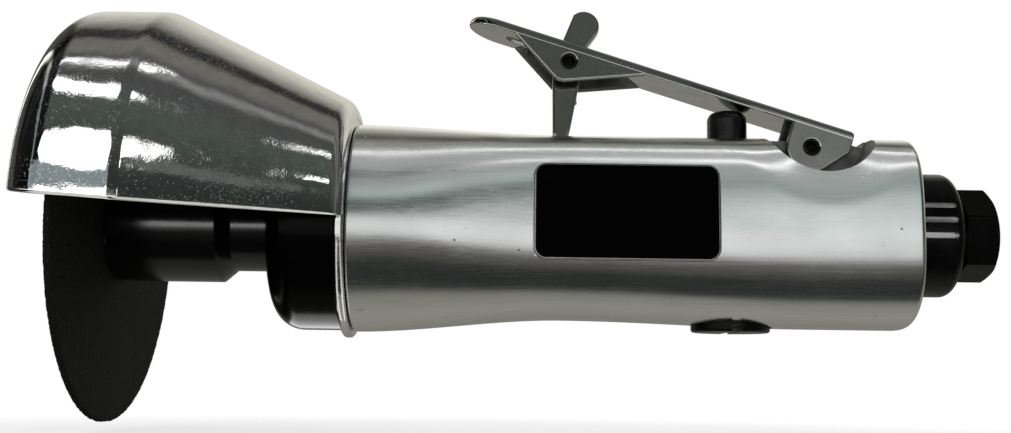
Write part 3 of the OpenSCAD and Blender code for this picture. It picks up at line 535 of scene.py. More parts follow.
# Finishes of single faces or pieces that share a slot with another
chrome("smooth_chrome", (0.8, 0.8, 0.785), (0.66, 0.66, 0.65), 0.04, 0.005, 0.006)
# A darker copy of the chrome: painted shade on the inner faces of the lever's folded cheeks and ears
bare_metal("chrome_painted_shade", (0.2, 0.2, 0.19), 0.3, 0.5, 1.0, 0.01)
black_steel("hexagon_black", (0.0016, 0.0017, 0.0015), 0.14, 0.2, 0.001, 0.05, 0.006)
black_plastic("button_black", 0.9)
rough_casting()
# Near black: painted shade deep inside a rolled pin's bore
soft_fibre("bore_painted_shade", grey(0.004), 0.6)
bare_metal("bright_floor", (0.75, 0.75, 0.74), 0.25, 0.45, 0.4, 0.02)


# Places that several pieces share
PIVOT = centre_of("lever_pin")
LOCK = centre_of("lock_off_pin")
LEVER_SLOPE = radians(17.4)
LOCK_AHEAD = 49.95
LOCK_ABOVE = 1.6
VALVE_X = centre_of("valve_plunger")[0]
PIN_R = box("lever_pin")[1].x - PIVOT[0]
PIN_TIGHT, PIN_FREE = 0.02, 0.05
FOOT_LEAN = radians(7.3)
FOOT_TIP_X = -84.0
LEVER_HALF_W = box("lever_pin")[1].y
LEVER_LIFT = 5.5
LEVER_T = 1.8
EAR_T = 1.6
SPIGOT_R = 16.0


# Housing: the solid's blends on a finer net, with the lower crown and the fuller front that the photo shows
FRONT_R = box("housing")[1].z
WAIST_TOP, WAIST_BOTTOM, WAIST_HALF_W = 17.75, 17.5, 18.0
REAR_BOTTOM, REAR_HALF_W = 18.6, 18.0
WAIST_TOP_SHARE, WAIST_BOTTOM_SHARE, REAR_BOTTOM_SHARE = 0.39, 0.38, 0.82
ROUND_SHARE, SQUARE_SHARE = 0.04, 0.42
ROUND_POWER, SQUARE_POWER, BELLY_POWER = 2.0, 3.4, 2.7
REAR_EDGE_R, FRONT_LIP = 1.0, 0.5
POCKET_R, POCKET_BACK, POCKET_UP, BOSS_HALF_W = 11.0, 0.4, 4.5, 4.1
DISH_W, DISH_DEPTH = 7.0, 0.8
PLUG_GAP, PLUG_SUNK, INLET_GAP, INLET_SPACE = 0.5, 2.5, 0.1, 2.0
TAIL_UNDER, TAIL_OVER, TAIL_REACH, TAIL_GAP = 3.2, 8.0, 9.6, 0.3
TRACK_STEPS, TRACK_DEPTH, TRACK_HALF_W = (-2.2, 4.2, 6.4, 14.6), 2.1, 1.9
SKIN_SIDES, SKIN_RINGS, LIP_STEPS, EDGE_STEPS = 176, 121, 5, 9


def ease(u):
    u = np.clip(u, 0, 1)
    return u * u * (3 - 2 * u)


def blend(a, b, u):
    return a + (b - a) * u


def crown_at(s):
    return blend(FRONT_R, WAIST_TOP, ease(s / WAIST_TOP_SHARE))


def belly_at(s):
    front = blend(FRONT_R, WAIST_BOTTOM, ease(s / WAIST_BOTTOM_SHARE))
    rear = (s - WAIST_BOTTOM_SHARE) / (REAR_BOTTOM_SHARE - WAIST_BOTTOM_SHARE)
    return blend(front, REAR_BOTTOM, ease(rear)) if s > WAIST_BOTTOM_SHARE else front


def skin_ring(x, share, inset):
    """One ring of the housing, its points evenly spaced along it."""
    squared = ease((share - ROUND_SHARE) / (SQUARE_SHARE - ROUND_SHARE))
    half_w = blend(FRONT_R, WAIST_HALF_W, ease(share / WAIST_BOTTOM_SHARE)) - inset
    a = np.linspace(0, 2 * np.pi, 16 * SKIN_SIDES + 1)
    above = np.sin(a) > 0
    power = blend(ROUND_POWER, np.where(above, SQUARE_POWER, BELLY_POWER), squared)
    high = np.where(above, crown_at(share), belly_at(share)) - inset
    y = half_w * np.sign(np.cos(a)) * np.abs(np.cos(a)) ** (2 / power)
    z = high * np.sign(np.sin(a)) * np.abs(np.sin(a)) ** (2 / power)
    run = np.concatenate(([0], np.cumsum(np.hypot(np.diff(y), np.diff(z)))))
    even = np.linspace(0, run[-1], SKIN_SIDES + 1)[:-1]
    return [(x, float(v), float(w)) for v, w in zip(np.interp(even, run, y), np.interp(even, run, z))]


def dished(p):
    """The flank falls in towards the rim of the lever's pocket, where the casting was polished."""
    away = hypot(p[0] - PIVOT[0] - POCKET_BACK, p[2] - PIVOT[1] - POCKET_UP) - POCKET_R
    depth = DISH_DEPTH * float(ease(1 - away / DISH_W))
    side = np.clip(abs(p[1]) / WAIST_HALF_W, 0, 1) ** 4
    return p[0], p[1] - copysign(depth * side, p[1]), p[2]


def housing():
    low, high = box("housing")
    length = high.x - low.x
    stations = [(low.x + FRONT_LIP * (1 - cos(a)), FRONT_LIP * (1 - sin(a)))
                for a in np.linspace(0, pi / 2, LIP_STEPS)]
    stations += [(x, 0) for x in np.linspace(low.x + FRONT_LIP, high.x - REAR_EDGE_R, SKIN_RINGS)[1:]]
    stations += [(high.x - REAR_EDGE_R * (1 - sin(a)), REAR_EDGE_R * (1 - cos(a)))
                 for a in np.linspace(0, pi / 2, EDGE_STEPS)[1:]]
    rings = [skin_ring(x, min(max((x - low.x) / length, 0), 1), inset) for x, inset in stations]
    body = tidy(cap_ends(grid([[dished(p) for p in ring] for ring in rings], False, True)))
    nut_end = box("clamp_nut")[1].x
    motor_end = box("motor_gasket")[1].x
    motor_r = box("motor_cylinder")[1].z
    bore = [(low.x - OVER, 0), (low.x - OVER, SPIGOT_R), (nut_end, SPIGOT_R), (nut_end, motor_r),
            (motor_end, motor_r), (motor_end, 0)]
    plug_low, plug_high = box("regulator")
    bush_r = box("valve_bush")[1].x - VALVE_X
    plug_r = plug_high.x - VALVE_X + PLUG_GAP
    plug_seat = plug_low.z + PLUG_SUNK
    well = [(low.z - OVER, 0), (low.z - OVER, plug_r), (plug_seat, plug_r), (plug_seat, bush_r),
            (high.z + OVER, bush_r), (high.z + OVER, 0)]
    inlet_start = box("inlet_bushing")[0].x - INLET_SPACE
    inlet_r = box("inlet_o_ring")[1].z + INLET_GAP
    inlet = [(inlet_start, 0), (inlet_start, inlet_r), (high.x + OVER, inlet_r), (high.x + OVER, 0)]
    ring = circle((PIVOT[0] + POCKET_BACK, PIVOT[1] + POCKET_UP), POCKET_R, 120)
    reach = REAR_HALF_W + OVER
    pockets = joined(prism(ring, BOSS_HALF_W, reach), prism(ring, -reach, -BOSS_HALF_W))
    tail_w = LEVER_HALF_W + TAIL_GAP
    relief = prism(rect(0, TAIL_UNDER, TAIL_REACH, TAIL_OVER), -tail_w, tail_w, lever_side)
    x0, x1, x2, x3 = [FOOT_TIP_X + step for step in TRACK_STEPS]
    crown, bed = WAIST_TOP, WAIST_TOP - TRACK_DEPTH
    track = [(x0, crown + OVER), (x0, crown), (x1, bed), (x2, bed), (x3, crown), (x3, crown + OVER)]
    plate_low, plate_high = box("name_plate")
    recess = prism(plate_outline(PLATE_GAP), plate_low.y - OVER, plate_high.y)
    pin = circle(PIVOT, PIN_R + PIN_TIGHT, 32)
    tools = [joined(lathe(bore, sides=96), paint(pockets, 1), recess,
                    prism(track, -TRACK_HALF_W, TRACK_HALF_W)),
             lathe(well, upright_at(VALVE_X), 96),
             paint(relief, 1),
             lathe(inlet, sides=96),
             prism(pin, -BOSS_HALF_W - OVER, BOSS_HALF_W + OVER)]
    finishes = ["polished_aluminium", "rough_casting"]
    piece("housing", carve(body, tools, finishes), "body", "polished_aluminium", finishes, 30)


# Name plate, left bare
PLATE_CORNER_R = 2.3
PLATE_EDGE = 0.35
PLATE_GAP = 0.1


def plate_outline(grow):
    low, high = box("name_plate")
    corners = rect(low.x - grow, low.z - grow, high.x + grow, high.z + grow)
    return rounded(corners, [PLATE_CORNER_R + grow] * 4, 8)


def name_plate():
    low, high = box("name_plate")
    bm = prism(plate_outline(0), low.y, high.y)
    rim = [e for e in bm.edges if all(abs(v.co.y - low.y) < 1e-3 for v in e.verts)]
    for face in bevel(bm, rim, PLATE_EDGE, 3)["faces"]:
        face.material_index = 1
    piece("name_plate", bm, "body", "black_plate", ["black_plate", "bright_floor"])


# Wheel end
def guard():
    """A half shell whose open edge lies in a tilted plane, with a full ring behind it."""
    low, high = box("guard")
    ring_r, ring_t, ring_bore, ring_edge, lip = 21.4, 1.7, 16.06, 0.2, 0.6
    roof_r, wall, corner, shoulder, knee_r = high.z, 1.6, 7.5, 4.0, 5.0
    knee, rear_r, relief_r = low.x + 19.6, 24.2, 14.0
    edge_front, edge_rear, turned, rim_r = 6.4, 2.7, radians(8.3), 0.6
    lean, tuck, steps = 0.02, 0.6, 160
    fall = (roof_r - rear_r) / (high.x - knee)
    slope = atan(fall)

    def section(inset):
        back = high.x - inset
        slope_end = roof_r - fall * (back - knee) - inset / cos(slope)
        points = [(low.x + inset, relief_r), (low.x + inset, roof_r - inset),
                  (knee - inset * tan(slope / 2), roof_r - inset), (back, slope_end),
                  (back - lean, ring_r - tuck)]
        return rounded(points, [0, corner - inset, knee_r, shoulder - inset, 0], 12)

    def swept(profile):
        rows = []
        for k in range(steps + 1):
            row = []
            for x, r in profile:
                edge = blend(edge_front, edge_rear, (x - low.x) / (high.x - low.x))
                start = asin(edge / r)
                a = start + (pi - 2 * start) * k / steps - turned
                row.append((x, -r * cos(a), r * sin(a)))
            rows.append(row)
        return rows

    rows = [a + b[::-1] for a, b in zip(swept(section(0)), swept(section(wall)))]
    shell = grid(rows, False, True)
    shell.verts.ensure_lookup_table()
    count = len(rows[0])
    for first in (0, steps * count):
        for j in range(count // 2 - 1):
            a, b = first + j, first + count - 1 - j
            shell.faces.new([shell.verts[i] for i in (a, a + 1, b - 1, b)])
    tidy(shell)
    rim = [e for e in shell.edges if e.calc_face_angle(0) > radians(50)]
    bevel(shell, rim, rim_r, 4)
    ring = rounded(rect(high.x - ring_t, ring_bore, high.x, ring_r), [ring_edge, ring_edge, lip, lip], 8)
    hoop = lathe(ring, sides=180)
    piece("guard", joined(shell, hoop), "guard", "chromed_sheet")


def cutting_wheel():
    """A thin wheel whose rim is chipped from place to place."""
    low, high = box("cutting_wheel")
    radius, bore, chip, rag, edge, rim_w = high.z, 4.75, 0.28, 0.1, 0.15, 1.2
    grit = random.Random(11)
    chips = {}

    def ragged(x, r, a):
        if r < radius - rim_w:
            return 0
        key = (round(a, 5), round(x, 2))
        if key not in chips:
            chips[key] = -chip * grit.random() ** 1.5 - rag * grit.random()
        return chips[key]

    bands = [bore, 12, 20, 28, 34, radius - 1.0, radius - edge]
    rim = [(low.x + edge, radius), ((low.x + high.x) / 2, radius), (high.x - edge, radius)]
    profile = [(low.x, r) for r in bands] + rim + [(high.x, r) for r in bands[::-1]]
    piece("cutting_wheel", lathe(profile, sides=720, wave=ragged), "spindle", "abrasive", sharp=55)


def wheel_spindle():
    low, high = box("wheel_spindle")
    wheel = box("cutting_wheel")[1].x
    nut = box("clamp_nut")[0].x
    flange_r, neck_r, pilot_r, tail_r = high.z, 8.8, 4.7, 5.7
    neck, slope, step, bore_end, bore_r, nose_r = nut - 7.2, nut - 9.8, -127.8, -157.8, 3.05, 4.05
    points = [(low.x, bore_r), (low.x, pilot_r), (wheel, pilot_r), (wheel, flange_r), (slope, flange_r),
              (neck, neck_r), (step, neck_r), (step, tail_r), (high.x, tail_r), (high.x, nose_r),
              (bore_end, nose_r), (bore_end, bore_r)]
    radii = [0, 0.2, 0, 0.6, 0.35, 0.5, 0.3, 0.2, 0.3, 0, 0, 0]
    piece("wheel_spindle", lathe(rounded(points, radii)), "spindle", "satin_black_steel")


def outer_flange():
    low, high = box("outer_flange")
    radius, bore, bevel_r, bevel_t = high.z, 3.05, 1.0, 0.7
    points = [(low.x, bore), (low.x, radius - bevel_r), (low.x + bevel_t, radius), (high.x, radius),
              (high.x, bore)]
    profile = rounded(points, [0.15, 0.3, 0.2, 0.1, 0.1], 4)
    piece("outer_flange", lathe(profile), "spindle", "satin_black_steel")


def wheel_screw():
    low, high = box("wheel_screw")
    head_r, shank_r, head, depth, flat = high.z, 3.0, low.x + 4.2, 2.5, 2.5
    points = [(low.x, 0), (low.x, head_r), (head, head_r), (head, shank_r), (high.x, shank_r), (high.x, 0)]
    solid = lathe(rounded(points, [0, 0.6, 0.15, 0, 0.4, 0], 5), sides=96)
    corners = circle((0, 0), flat / cos(pi / 6), 6)
    socket = prism(corners, low.x - OVER, low.x + depth, end_on)
    piece("wheel_screw", carve(solid, [socket]), "spindle", "satin_black_steel", sharp=30)


def clamp_nut():
    low, high = box("clamp_nut")
    radius, curve, bore, set_back, ring_seat = high.z, 5.8, 9.1, 0.6, 1.8
    front, rear = low.x + set_back, box("guard")[1].x - ring_seat
    points = [(front, bore), (front, radius), (rear, radius), (rear, SPIGOT_R), (high.x, SPIGOT_R),
              (high.x, bore)]
    profile = rounded(points, [0.5, curve, 0.35, 0, 0.5, 0.3], 14)
    piece("clamp_nut", lathe(profile, sides=180), "body", "gloss_black_steel")


# Throttle
def throttle_lever():
    """Pressed sheet: a slotted strip, with cheeks and ears folded down along its sides."""
    under = LEVER_LIFT - LEVER_T
    reach, tail, edge, fold_r, tuck, overlap = 71.5, 7.3, 0.3, 0.9, 0.03, 0.6
    half_w, inner, top = LEVER_HALF_W, LEVER_HALF_W - EAR_T, under + overlap
    nose = arc((half_w - reach, 0), half_w, 90, 270, 32)
    strip = prism(nose + [(tail, -half_w), (tail, half_w)], under, LEVER_LIFT, lever_top)
    slot_x0, slot_x1, slot_w, slot_r = -LOCK_AHEAD - 13.6, -LOCK_AHEAD + 6.6, 1.9, 1.6
    slot = rounded(rect(slot_x0, -slot_w, slot_x1, slot_w), [slot_r] * 4)
    slot = prism(slot, under - OVER, LEVER_LIFT + OVER, lever_top)
    pivot = Vector((PIVOT[0], 0, PIVOT[1]))
    up = Vector((sin(LEVER_SLOPE), 0, cos(LEVER_SLOPE)))

    def on_top(e):
        return all(abs((v.co - pivot).dot(up) - LEVER_LIFT) < 0.01 for v in e.verts)

    bevel(strip, [e for e in strip.edges if on_top(e)], fold_r, 8)
    parts = [soften(carve(strip, [slot]), edge)]
    toe, drop, cheek_r = 1.4, LOCK_ABOVE - 4.1, 1.6
    front, back = -LOCK_AHEAD - 11.8, -LOCK_AHEAD + 15.0
    cheek = [(front, under), (-LOCK_AHEAD - toe, drop), (-LOCK_AHEAD, drop), (back, under), (back, top),
             (front, top)]
    cheek = rounded(cheek, [0, cheek_r, cheek_r, 0, 0, 0], 6)
    ear_r, ear_foot = 4.8, 2.4
    ear = arc((0, 0), ear_r, 180, 315, 16) + [(tail, under - ear_foot), (tail, top), (-ear_r, top)]
    for outline, centre, fit in ((cheek, (-LOCK_AHEAD, LOCK_ABOVE), PIN_TIGHT), (ear, (0, 0), PIN_FREE)):
        hole = circle(centre, PIN_R + fit, 40)
        for y0, y1 in ((inner, half_w - tuck), (tuck - half_w, -inner)):
            drill = prism(hole, y0 - OVER, y1 + OVER, lever_side)
            side = soften(carve(prism(outline, y0, y1, lever_side), [drill]), edge)
            # Faces inside the fold take the darker chrome, as painted shade
            for face in side.faces:
                face.material_index = int(abs(face.calc_center_median().y) < half_w - edge)
            parts.append(side)
    piece("throttle_lever", joined(*parts), "lever", "chromed_sheet", ["smooth_chrome", "chrome_painted_shade"])


def roll_pin(node, body, centre):
    """A rolled pin: a tube with a slit along it and rounded ends."""
    low, high = box(node)
    bore_r, slit, start, edge, edge_from, mouth = 1.2, 16, 262, 0.14, 50, 0.3
    outer = arc(centre, PIN_R, start, start + 360 - slit, 40)
    inner = arc(centre, bore_r, start + 360 - slit, start, 40)
    bm = soften(prism(outer + inner, low.y, high.y), edge, edge_from)
    # Faces deep in the bore take near black, as painted shade
    for face in bm.faces:
        middle = face.calc_center_median()
        deep = abs(middle.y) < high.y - mouth
        face.material_index = int(deep and dist((middle.x, middle.z), centre) < (bore_r + PIN_R) / 2)
    piece(node, bm, body, "pin_steel", ["pin_steel", "bore_painted_shade"])


def lock_off_lever():
    """A flat paddle: a foot that tapers to its tip, a hub round the pin and a lobed thumb tab."""
    low, high = box("lock_off_lever")
    edge, longer = 0.45, 0.45
    tip = low.z - LOCK[1] - longer
    foot = [(-2.9, tip + 1.1), (-2.3, tip), (0.0, tip), (0.5, tip + 1.9)]
    hub = [(2.5, -2.2), (3.1, 0.8), (3.2, 3.2)]
    lobe = arc((3.15, 8.45), 3.1, -38, 132, 24)
    neck = [(-1.5, 4.3), (-3.1, 1.5)]
    radii = [0.4, 0.4, 0.4, 1.0] + [2.0, 1.2, 1.5] + [0] * len(lobe) + [2.0, 2.0]
    outline = [(LOCK[0] + u, LOCK[1] + v) for u, v in rounded(foot + hub + lobe + neck, radii)]
    hole = prism(circle(LOCK, PIN_R + PIN_FREE, 40), low.y - OVER, high.y + OVER)
    bm = soften(carve(prism(outline, low.y, high.y), [hole]), edge)
    piece("lock_off_lever", bm, "lock_off", "chromed_sheet", ["smooth_chrome"])


def lock_off_spring():
    """One leg hooks the foot, the coil runs away from the plate, the other leg lies along the lever."""
    wire_r, coil_r, pitch, coil_y, drop, leg, hook_gap = 0.27, 1.8, 0.9, 2.0, 7.0, 9.0, 0.15
    foot_top_w, foot_tip_w, foot_len = 4.9, 3.4, 14.28
    turns = 2 + (pi / 2 - LEVER_SLOPE) / (2 * pi)

    def coil(t):
        a = 2 * pi * t
        return Vector((coil_r * cos(a), coil_y + pitch * t, coil_r * sin(a)))

    foot_half_w = blend(foot_top_w, foot_tip_w, drop / foot_len) / 2 / cos(FOOT_LEAN)
    hook_x = foot_half_w - drop * tan(FOOT_LEAN) + wire_r + hook_gap
    hook = [Vector((hook_x, y, -drop)) for y in (0, 0.5, 1.0)]
    bend = [Vector((hook_x, coil_y - wire_r, wire_r - drop)), Vector((coil_r, coil_y, -coil_r)),
            Vector((coil_r, coil_y, -0.5 * coil_r))]
    wound = [coil(turns * i / 72) for i in range(73)]
    way = Vector((-cos(LEVER_SLOPE), 0, sin(LEVER_SLOPE)))
    straight = [wound[-1] + way * leg * k / 4 for k in range(1, 5)]
    origin = Vector((LOCK[0], 0, LOCK[1]))
    path = [origin + p for p in hook + bend + wound + straight]
    spring = piece("lock_off_spring", tube(path, wire_r), None, "spring_steel")
    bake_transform(spring)


def valve_plunger():
    low, high = box("valve_plunger")
    radius, curve, stem_r = high.x - VALVE_X, 1.8, 2.0
    head, groove_r, groove_up, groove_w = high.z - 11.3, 2.8, 2.4, 1.4
    g0, g1 = head + groove_up, head + groove_up + groove_w
    points = [(low.z, 0), (low.z, stem_r), (head, stem_r), (head, radius), (g0, radius), (g0, groove_r),
              (g1, groove_r), (g1, radius), (high.z, radius), (high.z, 0)]
    profile = rounded(points, [0, 0.2, 0, 0.2, 0.1, 0, 0, 0.1, curve, 0], 10)
    button = lathe(profile, upright_at(VALVE_X), 96)
    piece("valve_plunger", button, "plunger", "black_plastic", ["button_black"])


def valve_spring():
    """Stands on the regulator's floor, under the poppet and the plunger."""
    low, high = box("valve_spring")
    wire_r, coil_r, turns, steps = 0.35, 3.0, 6, 24
    z0, z1 = low.z + wire_r, high.z - wire_r
    path = []
    for i in range(turns * steps + 1):
        a = 2 * pi * i / steps
        z = blend(z0, z1, i / (turns * steps))
        path.append(Vector((VALVE_X + coil_r * cos(a), coil_r * sin(a), z)))
    spring = piece("valve_spring", tube(path, wire_r), None, "spring_steel")
    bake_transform(spring)


def regulator():
    """A plug with a screwdriver slot below, and above it a cup with a window towards the inlet."""
    low, high = box("regulator")
    head_r, body_r, cup_r, cup_floor, head_t, edge = high.x - VALVE_X, 6.4, 4.8, -14.0, 2.4, 0.6
    groove_up, groove_w, groove_r = 1.5, 1.2, 5.25
    slot_w, slot_depth, window_z, window_r = 0.8, 1.2, -3.6, 2.6
    head = low.z + head_t
    g0 = head + groove_up
    g1 = g0 + groove_w
    points = [(low.z, 0), (low.z, head_r), (head, head_r), (head, body_r), (g0, body_r), (g0, groove_r),
              (g1, groove_r), (g1, body_r), (high.z, body_r), (high.z, cup_r), (cup_floor, cup_r),
              (cup_floor, 0)]
    profile = rounded(points, [0, edge, 0.3, 0, 0, 0, 0, 0, 0.3, 0.3, 0, 0], 5)
    slot = rect(VALVE_X - slot_w, low.z - OVER, VALVE_X + slot_w, low.z + slot_depth)
    window = circle((0, window_z), window_r, 32)
    tools = [prism(slot, -2 * head_r, 2 * head_r),
             prism(window, VALVE_X, VALVE_X + 2 * head_r, end_on)]
    solid = carve(lathe(profile, upright_at(VALVE_X), 96), tools)
    piece("regulator", solid, "regulator", "black_plastic", sharp=30)


# Rear end
def exhaust_deflector():
    """A cap with three slots on each side, whose floors show bright."""
    low, high = box("exhaust_deflector")
    radius, wall, curve, hole = high.z, 1.8, 2.0, 6.66
    margin, slot_w, first, step, depth = 0.8, 1.05, -6, 14, 1.1
    points = [(low.x, radius), (high.x, radius), (high.x, hole), (high.x - wall, hole),
              (high.x - wall, radius - wall), (low.x, radius - wall)]
    solid = lathe(rounded(points, [0.3, curve, 0.3, 0.2, 0.4, 0.2], 10), sides=160)
    corners = rect(low.x + margin, -slot_w / 2, high.x - wall, slot_w / 2)
    slot = rounded(corners, [slot_w * 0.45] * 4, 5)
    angles = [radians(side - first - step * i) for side in (0, 180) for i in range(3)]
    slots = joined(*[prism(slot, radius - depth, radius + OVER, round_x(a)) for a in angles])
    finishes = ["black_plastic", "bright_floor"]
    solid = carve(solid, [paint(slots, 1)], finishes)
    piece("exhaust_deflector", solid, "deflector", "black_plastic", finishes, 30)


def inlet_bushing():
    """A chamfered hexagon on a grooved spigot, bored and threaded for the air fitting."""
    low, high = box("inlet_bushing")
    flat, hex_len, turned, corner_edge, chamfer_r, chamfer_len = 8.0, 5.9, 12, 0.8, 1.6, 1.3
    neck_r, neck_len, spigot_r, sunk = 7.9, 1.65, 6.6, 0.4
    groove_r, groove_w, groove_back = 5.45, 1.2, 1.6
    thread_r, thread_len, pitch, thread_depth, run_in, run_out = 5.56, 11.0, 1.41, 0.8, 0.3, 0.4
    bore_r, seat_r, seat_len, mouth = 4.2, 5.25, 1.4, 0.7
    corner_r = flat / cos(pi / 6)
    x_hex = high.x - hex_len
    x_neck = x_hex - neck_len
    corners = circle((0, 0), corner_r, 6, 90 + turned)
    hexagon = prism(rounded(corners, [corner_edge] * 6, 5), x_hex - sunk, high.x, end_on)
    cone = [(x_hex - OVER, 0), (x_hex - OVER, corner_r + OVER), (high.x - chamfer_len, corner_r + OVER),
            (high.x, corner_r - chamfer_r), (high.x + 0.01, 0)]
    hexagon = carve(hexagon, [lathe(cone, sides=96)], operation="INTERSECT")
    g1 = box("housing")[1].x - groove_back
    g0 = g1 - groove_w
    stem = [(low.x, 0), (low.x, spigot_r), (g0, spigot_r), (g0, groove_r), (g1, groove_r), (g1, spigot_r),
            (x_neck, spigot_r), (x_neck, neck_r), (x_hex + OVER, neck_r), (x_hex + OVER, 0)]
    stem = lathe(rounded(stem, [0, 0.4, 0, 0, 0, 0, 0, 0.3, 0, 0], 4), sides=96)
    solid = carve(hexagon, [stem], operation="UNION")

    def thread(x, r, a):
        """A helical vee, which runs out at both ends."""
        if r < thread_r - 0.01 or x < high.x - thread_len + run_out or x > high.x - run_in:
            return 0
        phase = (x / pitch - a / (2 * pi)) % 1
        return thread_depth * (abs(2 * phase - 1) - 0.5)

    x_thread = high.x - thread_len
    x_seat = x_thread - seat_len
    bore = [(low.x - OVER, 0), (low.x - OVER, bore_r), (x_seat, bore_r), (x_seat, seat_r), (x_thread, seat_r)]
    bore += [(x, thread_r) for x in np.linspace(x_thread, high.x, 90)]
    bore += [(high.x + mouth, thread_r + mouth), (high.x + mouth, 0)]
    solid = carve(solid, [lathe(bore, sides=72, wave=thread)])
    piece("inlet_bushing", solid, "body", "satin_black_steel", ["hexagon_black"], 30)


housing()
name_plate()
guard()
cutting_wheel()
wheel_spindle()
outer_flange()
wheel_screw()
clamp_nut()
throttle_lever()
roll_pin("lever_pin", "body", PIVOT)
roll_pin("lock_off_pin", "lever", LOCK)
lock_off_lever()
lock_off_spring()
valve_plunger()
valve_spring()
regulator()
exhaust_deflector()
inlet_bushing()


# CAD nodes that stay as they are take a finish by what they are made of
INSIDE = {
    "machined_steel": ["front_end_plate", "rear_end_plate", "motor_cylinder", "rotor", "inlet_screen"],
    "bearing_steel": ["front_bearing_outer_ring", "front_bearing_inner_ring", "front_bearing_balls",
                      "rear_bearing_outer_ring", "rear_bearing_inner_ring", "rear_bearing_balls"],
    "brass": ["front_bearing_cage", "rear_bearing_cage", "valve_bush", "valve_poppet"],
    "fibre": ["motor_gasket", "rotor_blades"],
    "pin_steel": ["cylinder_dowel"],
    "seal_rubber": ["plunger_o_ring", "regulator_o_ring", "inlet_o_ring"],
}
for slot_name, nodes in INSIDE.items():
    for node in nodes:
        obj = bpy.data.objects[node]
        obj.data.materials.clear()
        obj.data.materials.append(FINISH[slot_name])


# Floor, which keeps the shadow and fades into the white round it
FLOOR_Z = -39.5
FLOOR_REACH = (170.0, 115.0)
FLOOR_TONE = grey(0.86)
FLOOR_LIFT, FLOOR_LIFT_SHARE = 1.2, 0.6
FLOOR_FADE_FROM, FLOOR_FADE_TO = 0.45, 1.0


def mixed_surface(tree, share, a, b):
    mix = add(tree, "MixShader", {0: share, 1: a.outputs[0], 2: b.outputs[0]})
    tree.links.new(mix.outputs[0], tree.nodes["Material Output"].inputs["Surface"])


def floor():
    bm = bmesh.new()
    bmesh.ops.create_grid(bm, x_segments=2, y_segments=2, size=1.0)
    tree = shader("floor", FLOOR_TONE, 0, 0.9, 0.1)
    place = add(tree, "TexCoord").outputs["Object"]
    away = add(tree, "VectorMath", {0: place}, operation="LENGTH").outputs["Value"]
    fade = add(tree, "MapRange", {0: away, 1: FLOOR_FADE_FROM, 2: FLOOR_FADE_TO, 3: 0.0, 4: 1.0},
               interpolation_type="SMOOTHSTEP")
    lit = add(tree, "Emission", {"Color": (1, 1, 1, 1), "Strength": FLOOR_LIFT})
    lifted = maths(tree, add(tree, "LightPath").outputs["Is Camera Ray"], FLOOR_LIFT_SHARE)
    matt = tree.nodes["Principled BSDF"]
    paper = add(tree, "MixShader", {0: lifted, 1: matt.outputs[0], 2: lit.outputs[0]})
    mixed_surface(tree, fade.outputs[0], paper, add(tree, "BsdfTransparent"))
    obj = new_object("floor", new_mesh("floor", bm, ["floor"]))
    obj.scale = (FLOOR_REACH[0] * MM, FLOOR_REACH[1] * MM, 1)
    middle = (cad_box[0] + cad_box[1]) / 2
    obj.location = (middle.x, 0, FLOOR_Z * MM)
    obj.visible_glossy = False


# World: white for the camera and for gloss, and an even soft light on matt surfaces
FILL = 0.55


def world():
    scene_world = bpy.data.worlds.new("white")
    bpy.context.scene.world = scene_world
    scene_world.use_nodes = True
    tree = scene_world.node_tree
    tree.nodes.clear()
    path = add(tree, "LightPath")
    seen = maths(tree, path.outputs["Is Camera Ray"], path.outputs["Is Transmission Ray"], "MAXIMUM")
    seen = maths(tree, seen, path.outputs["Is Glossy Ray"], "MAXIMUM")
    colour = mix_colour(tree, seen, grey(FILL), grey(1.0))
    background = add(tree, "Background", {"Color": colour, "Strength": 1.0})
    out = add(tree, "OutputWorld", {"Surface": background.outputs[0]})
    out.is_active_output = True


# Studio: cards and walls that only gloss shows, each at an angle about the spindle's axis, where 0 faces the
# camera, 90 is up and 180 is behind the tool; where a card is OPEN the white behind it shows
STUDIO_R = 3.0
OPEN = None
PLAIN, WARM, BROWN = grey(1.0), (1.0, 0.98, 0.88), (1.0, 0.92, 0.84)
GREEN, COOL, BLUE = (0.85, 1.0, 0.92), (0.88, 1.0, 0.98), (0.8, 0.92, 1.0)
CARDS = [(-180, 0.24, WARM), (-160, 0.24, WARM), (-118, 0.34, WARM), (-84, 0.27, WARM), (-75, 0.03, GREEN),
         (-42, 0.03, GREEN), (-30, 0.1, BROWN), (-17, 0.12, BROWN), (-12, OPEN, GREEN), (5, OPEN, GREEN),
         (9, 0.035, GREEN), (20, 0.045, GREEN), (56, 0.1, GREEN), (79, 0.08, PLAIN), (84, 0.3, PLAIN),
         (89, 0.09, PLAIN), (96, 0.19, WARM), (104, 0.18, WARM), (108, 0.035, PLAIN), (115, 0.04, PLAIN),
         (121, 0.25, WARM), (128, 0.45, WARM), (140, 0.7, WARM), (150, 0.75, WARM), (166, 0.6, WARM),
         (180, 0.24, WARM)]
OPEN_LEVEL = 0.12
# Towards the left the cards give way to a dark wall with one bright gap, and on the right the opening is shut
SIDES = [(-1.0, 0.1), (-0.72, 0.1), (-0.7, 3.0), (-0.67, 3.0), (-0.65, 0.1), (-0.5, 0.1), (-0.4, 1.0)]
SHUT_FROM, SHUT_TO = 0.36, 0.44


def ramp(tree, value, places, colours):
    """A colour ramp over a value between 0 and 1."""
    node = add(tree, "ValToRGB", {0: value})
    elements = node.color_ramp.elements
    while len(elements) < len(places):
        elements.new(0.5)
    for element, place, colour in zip(elements, places, colours):
        element.position = place
        element.color = colour
    return node


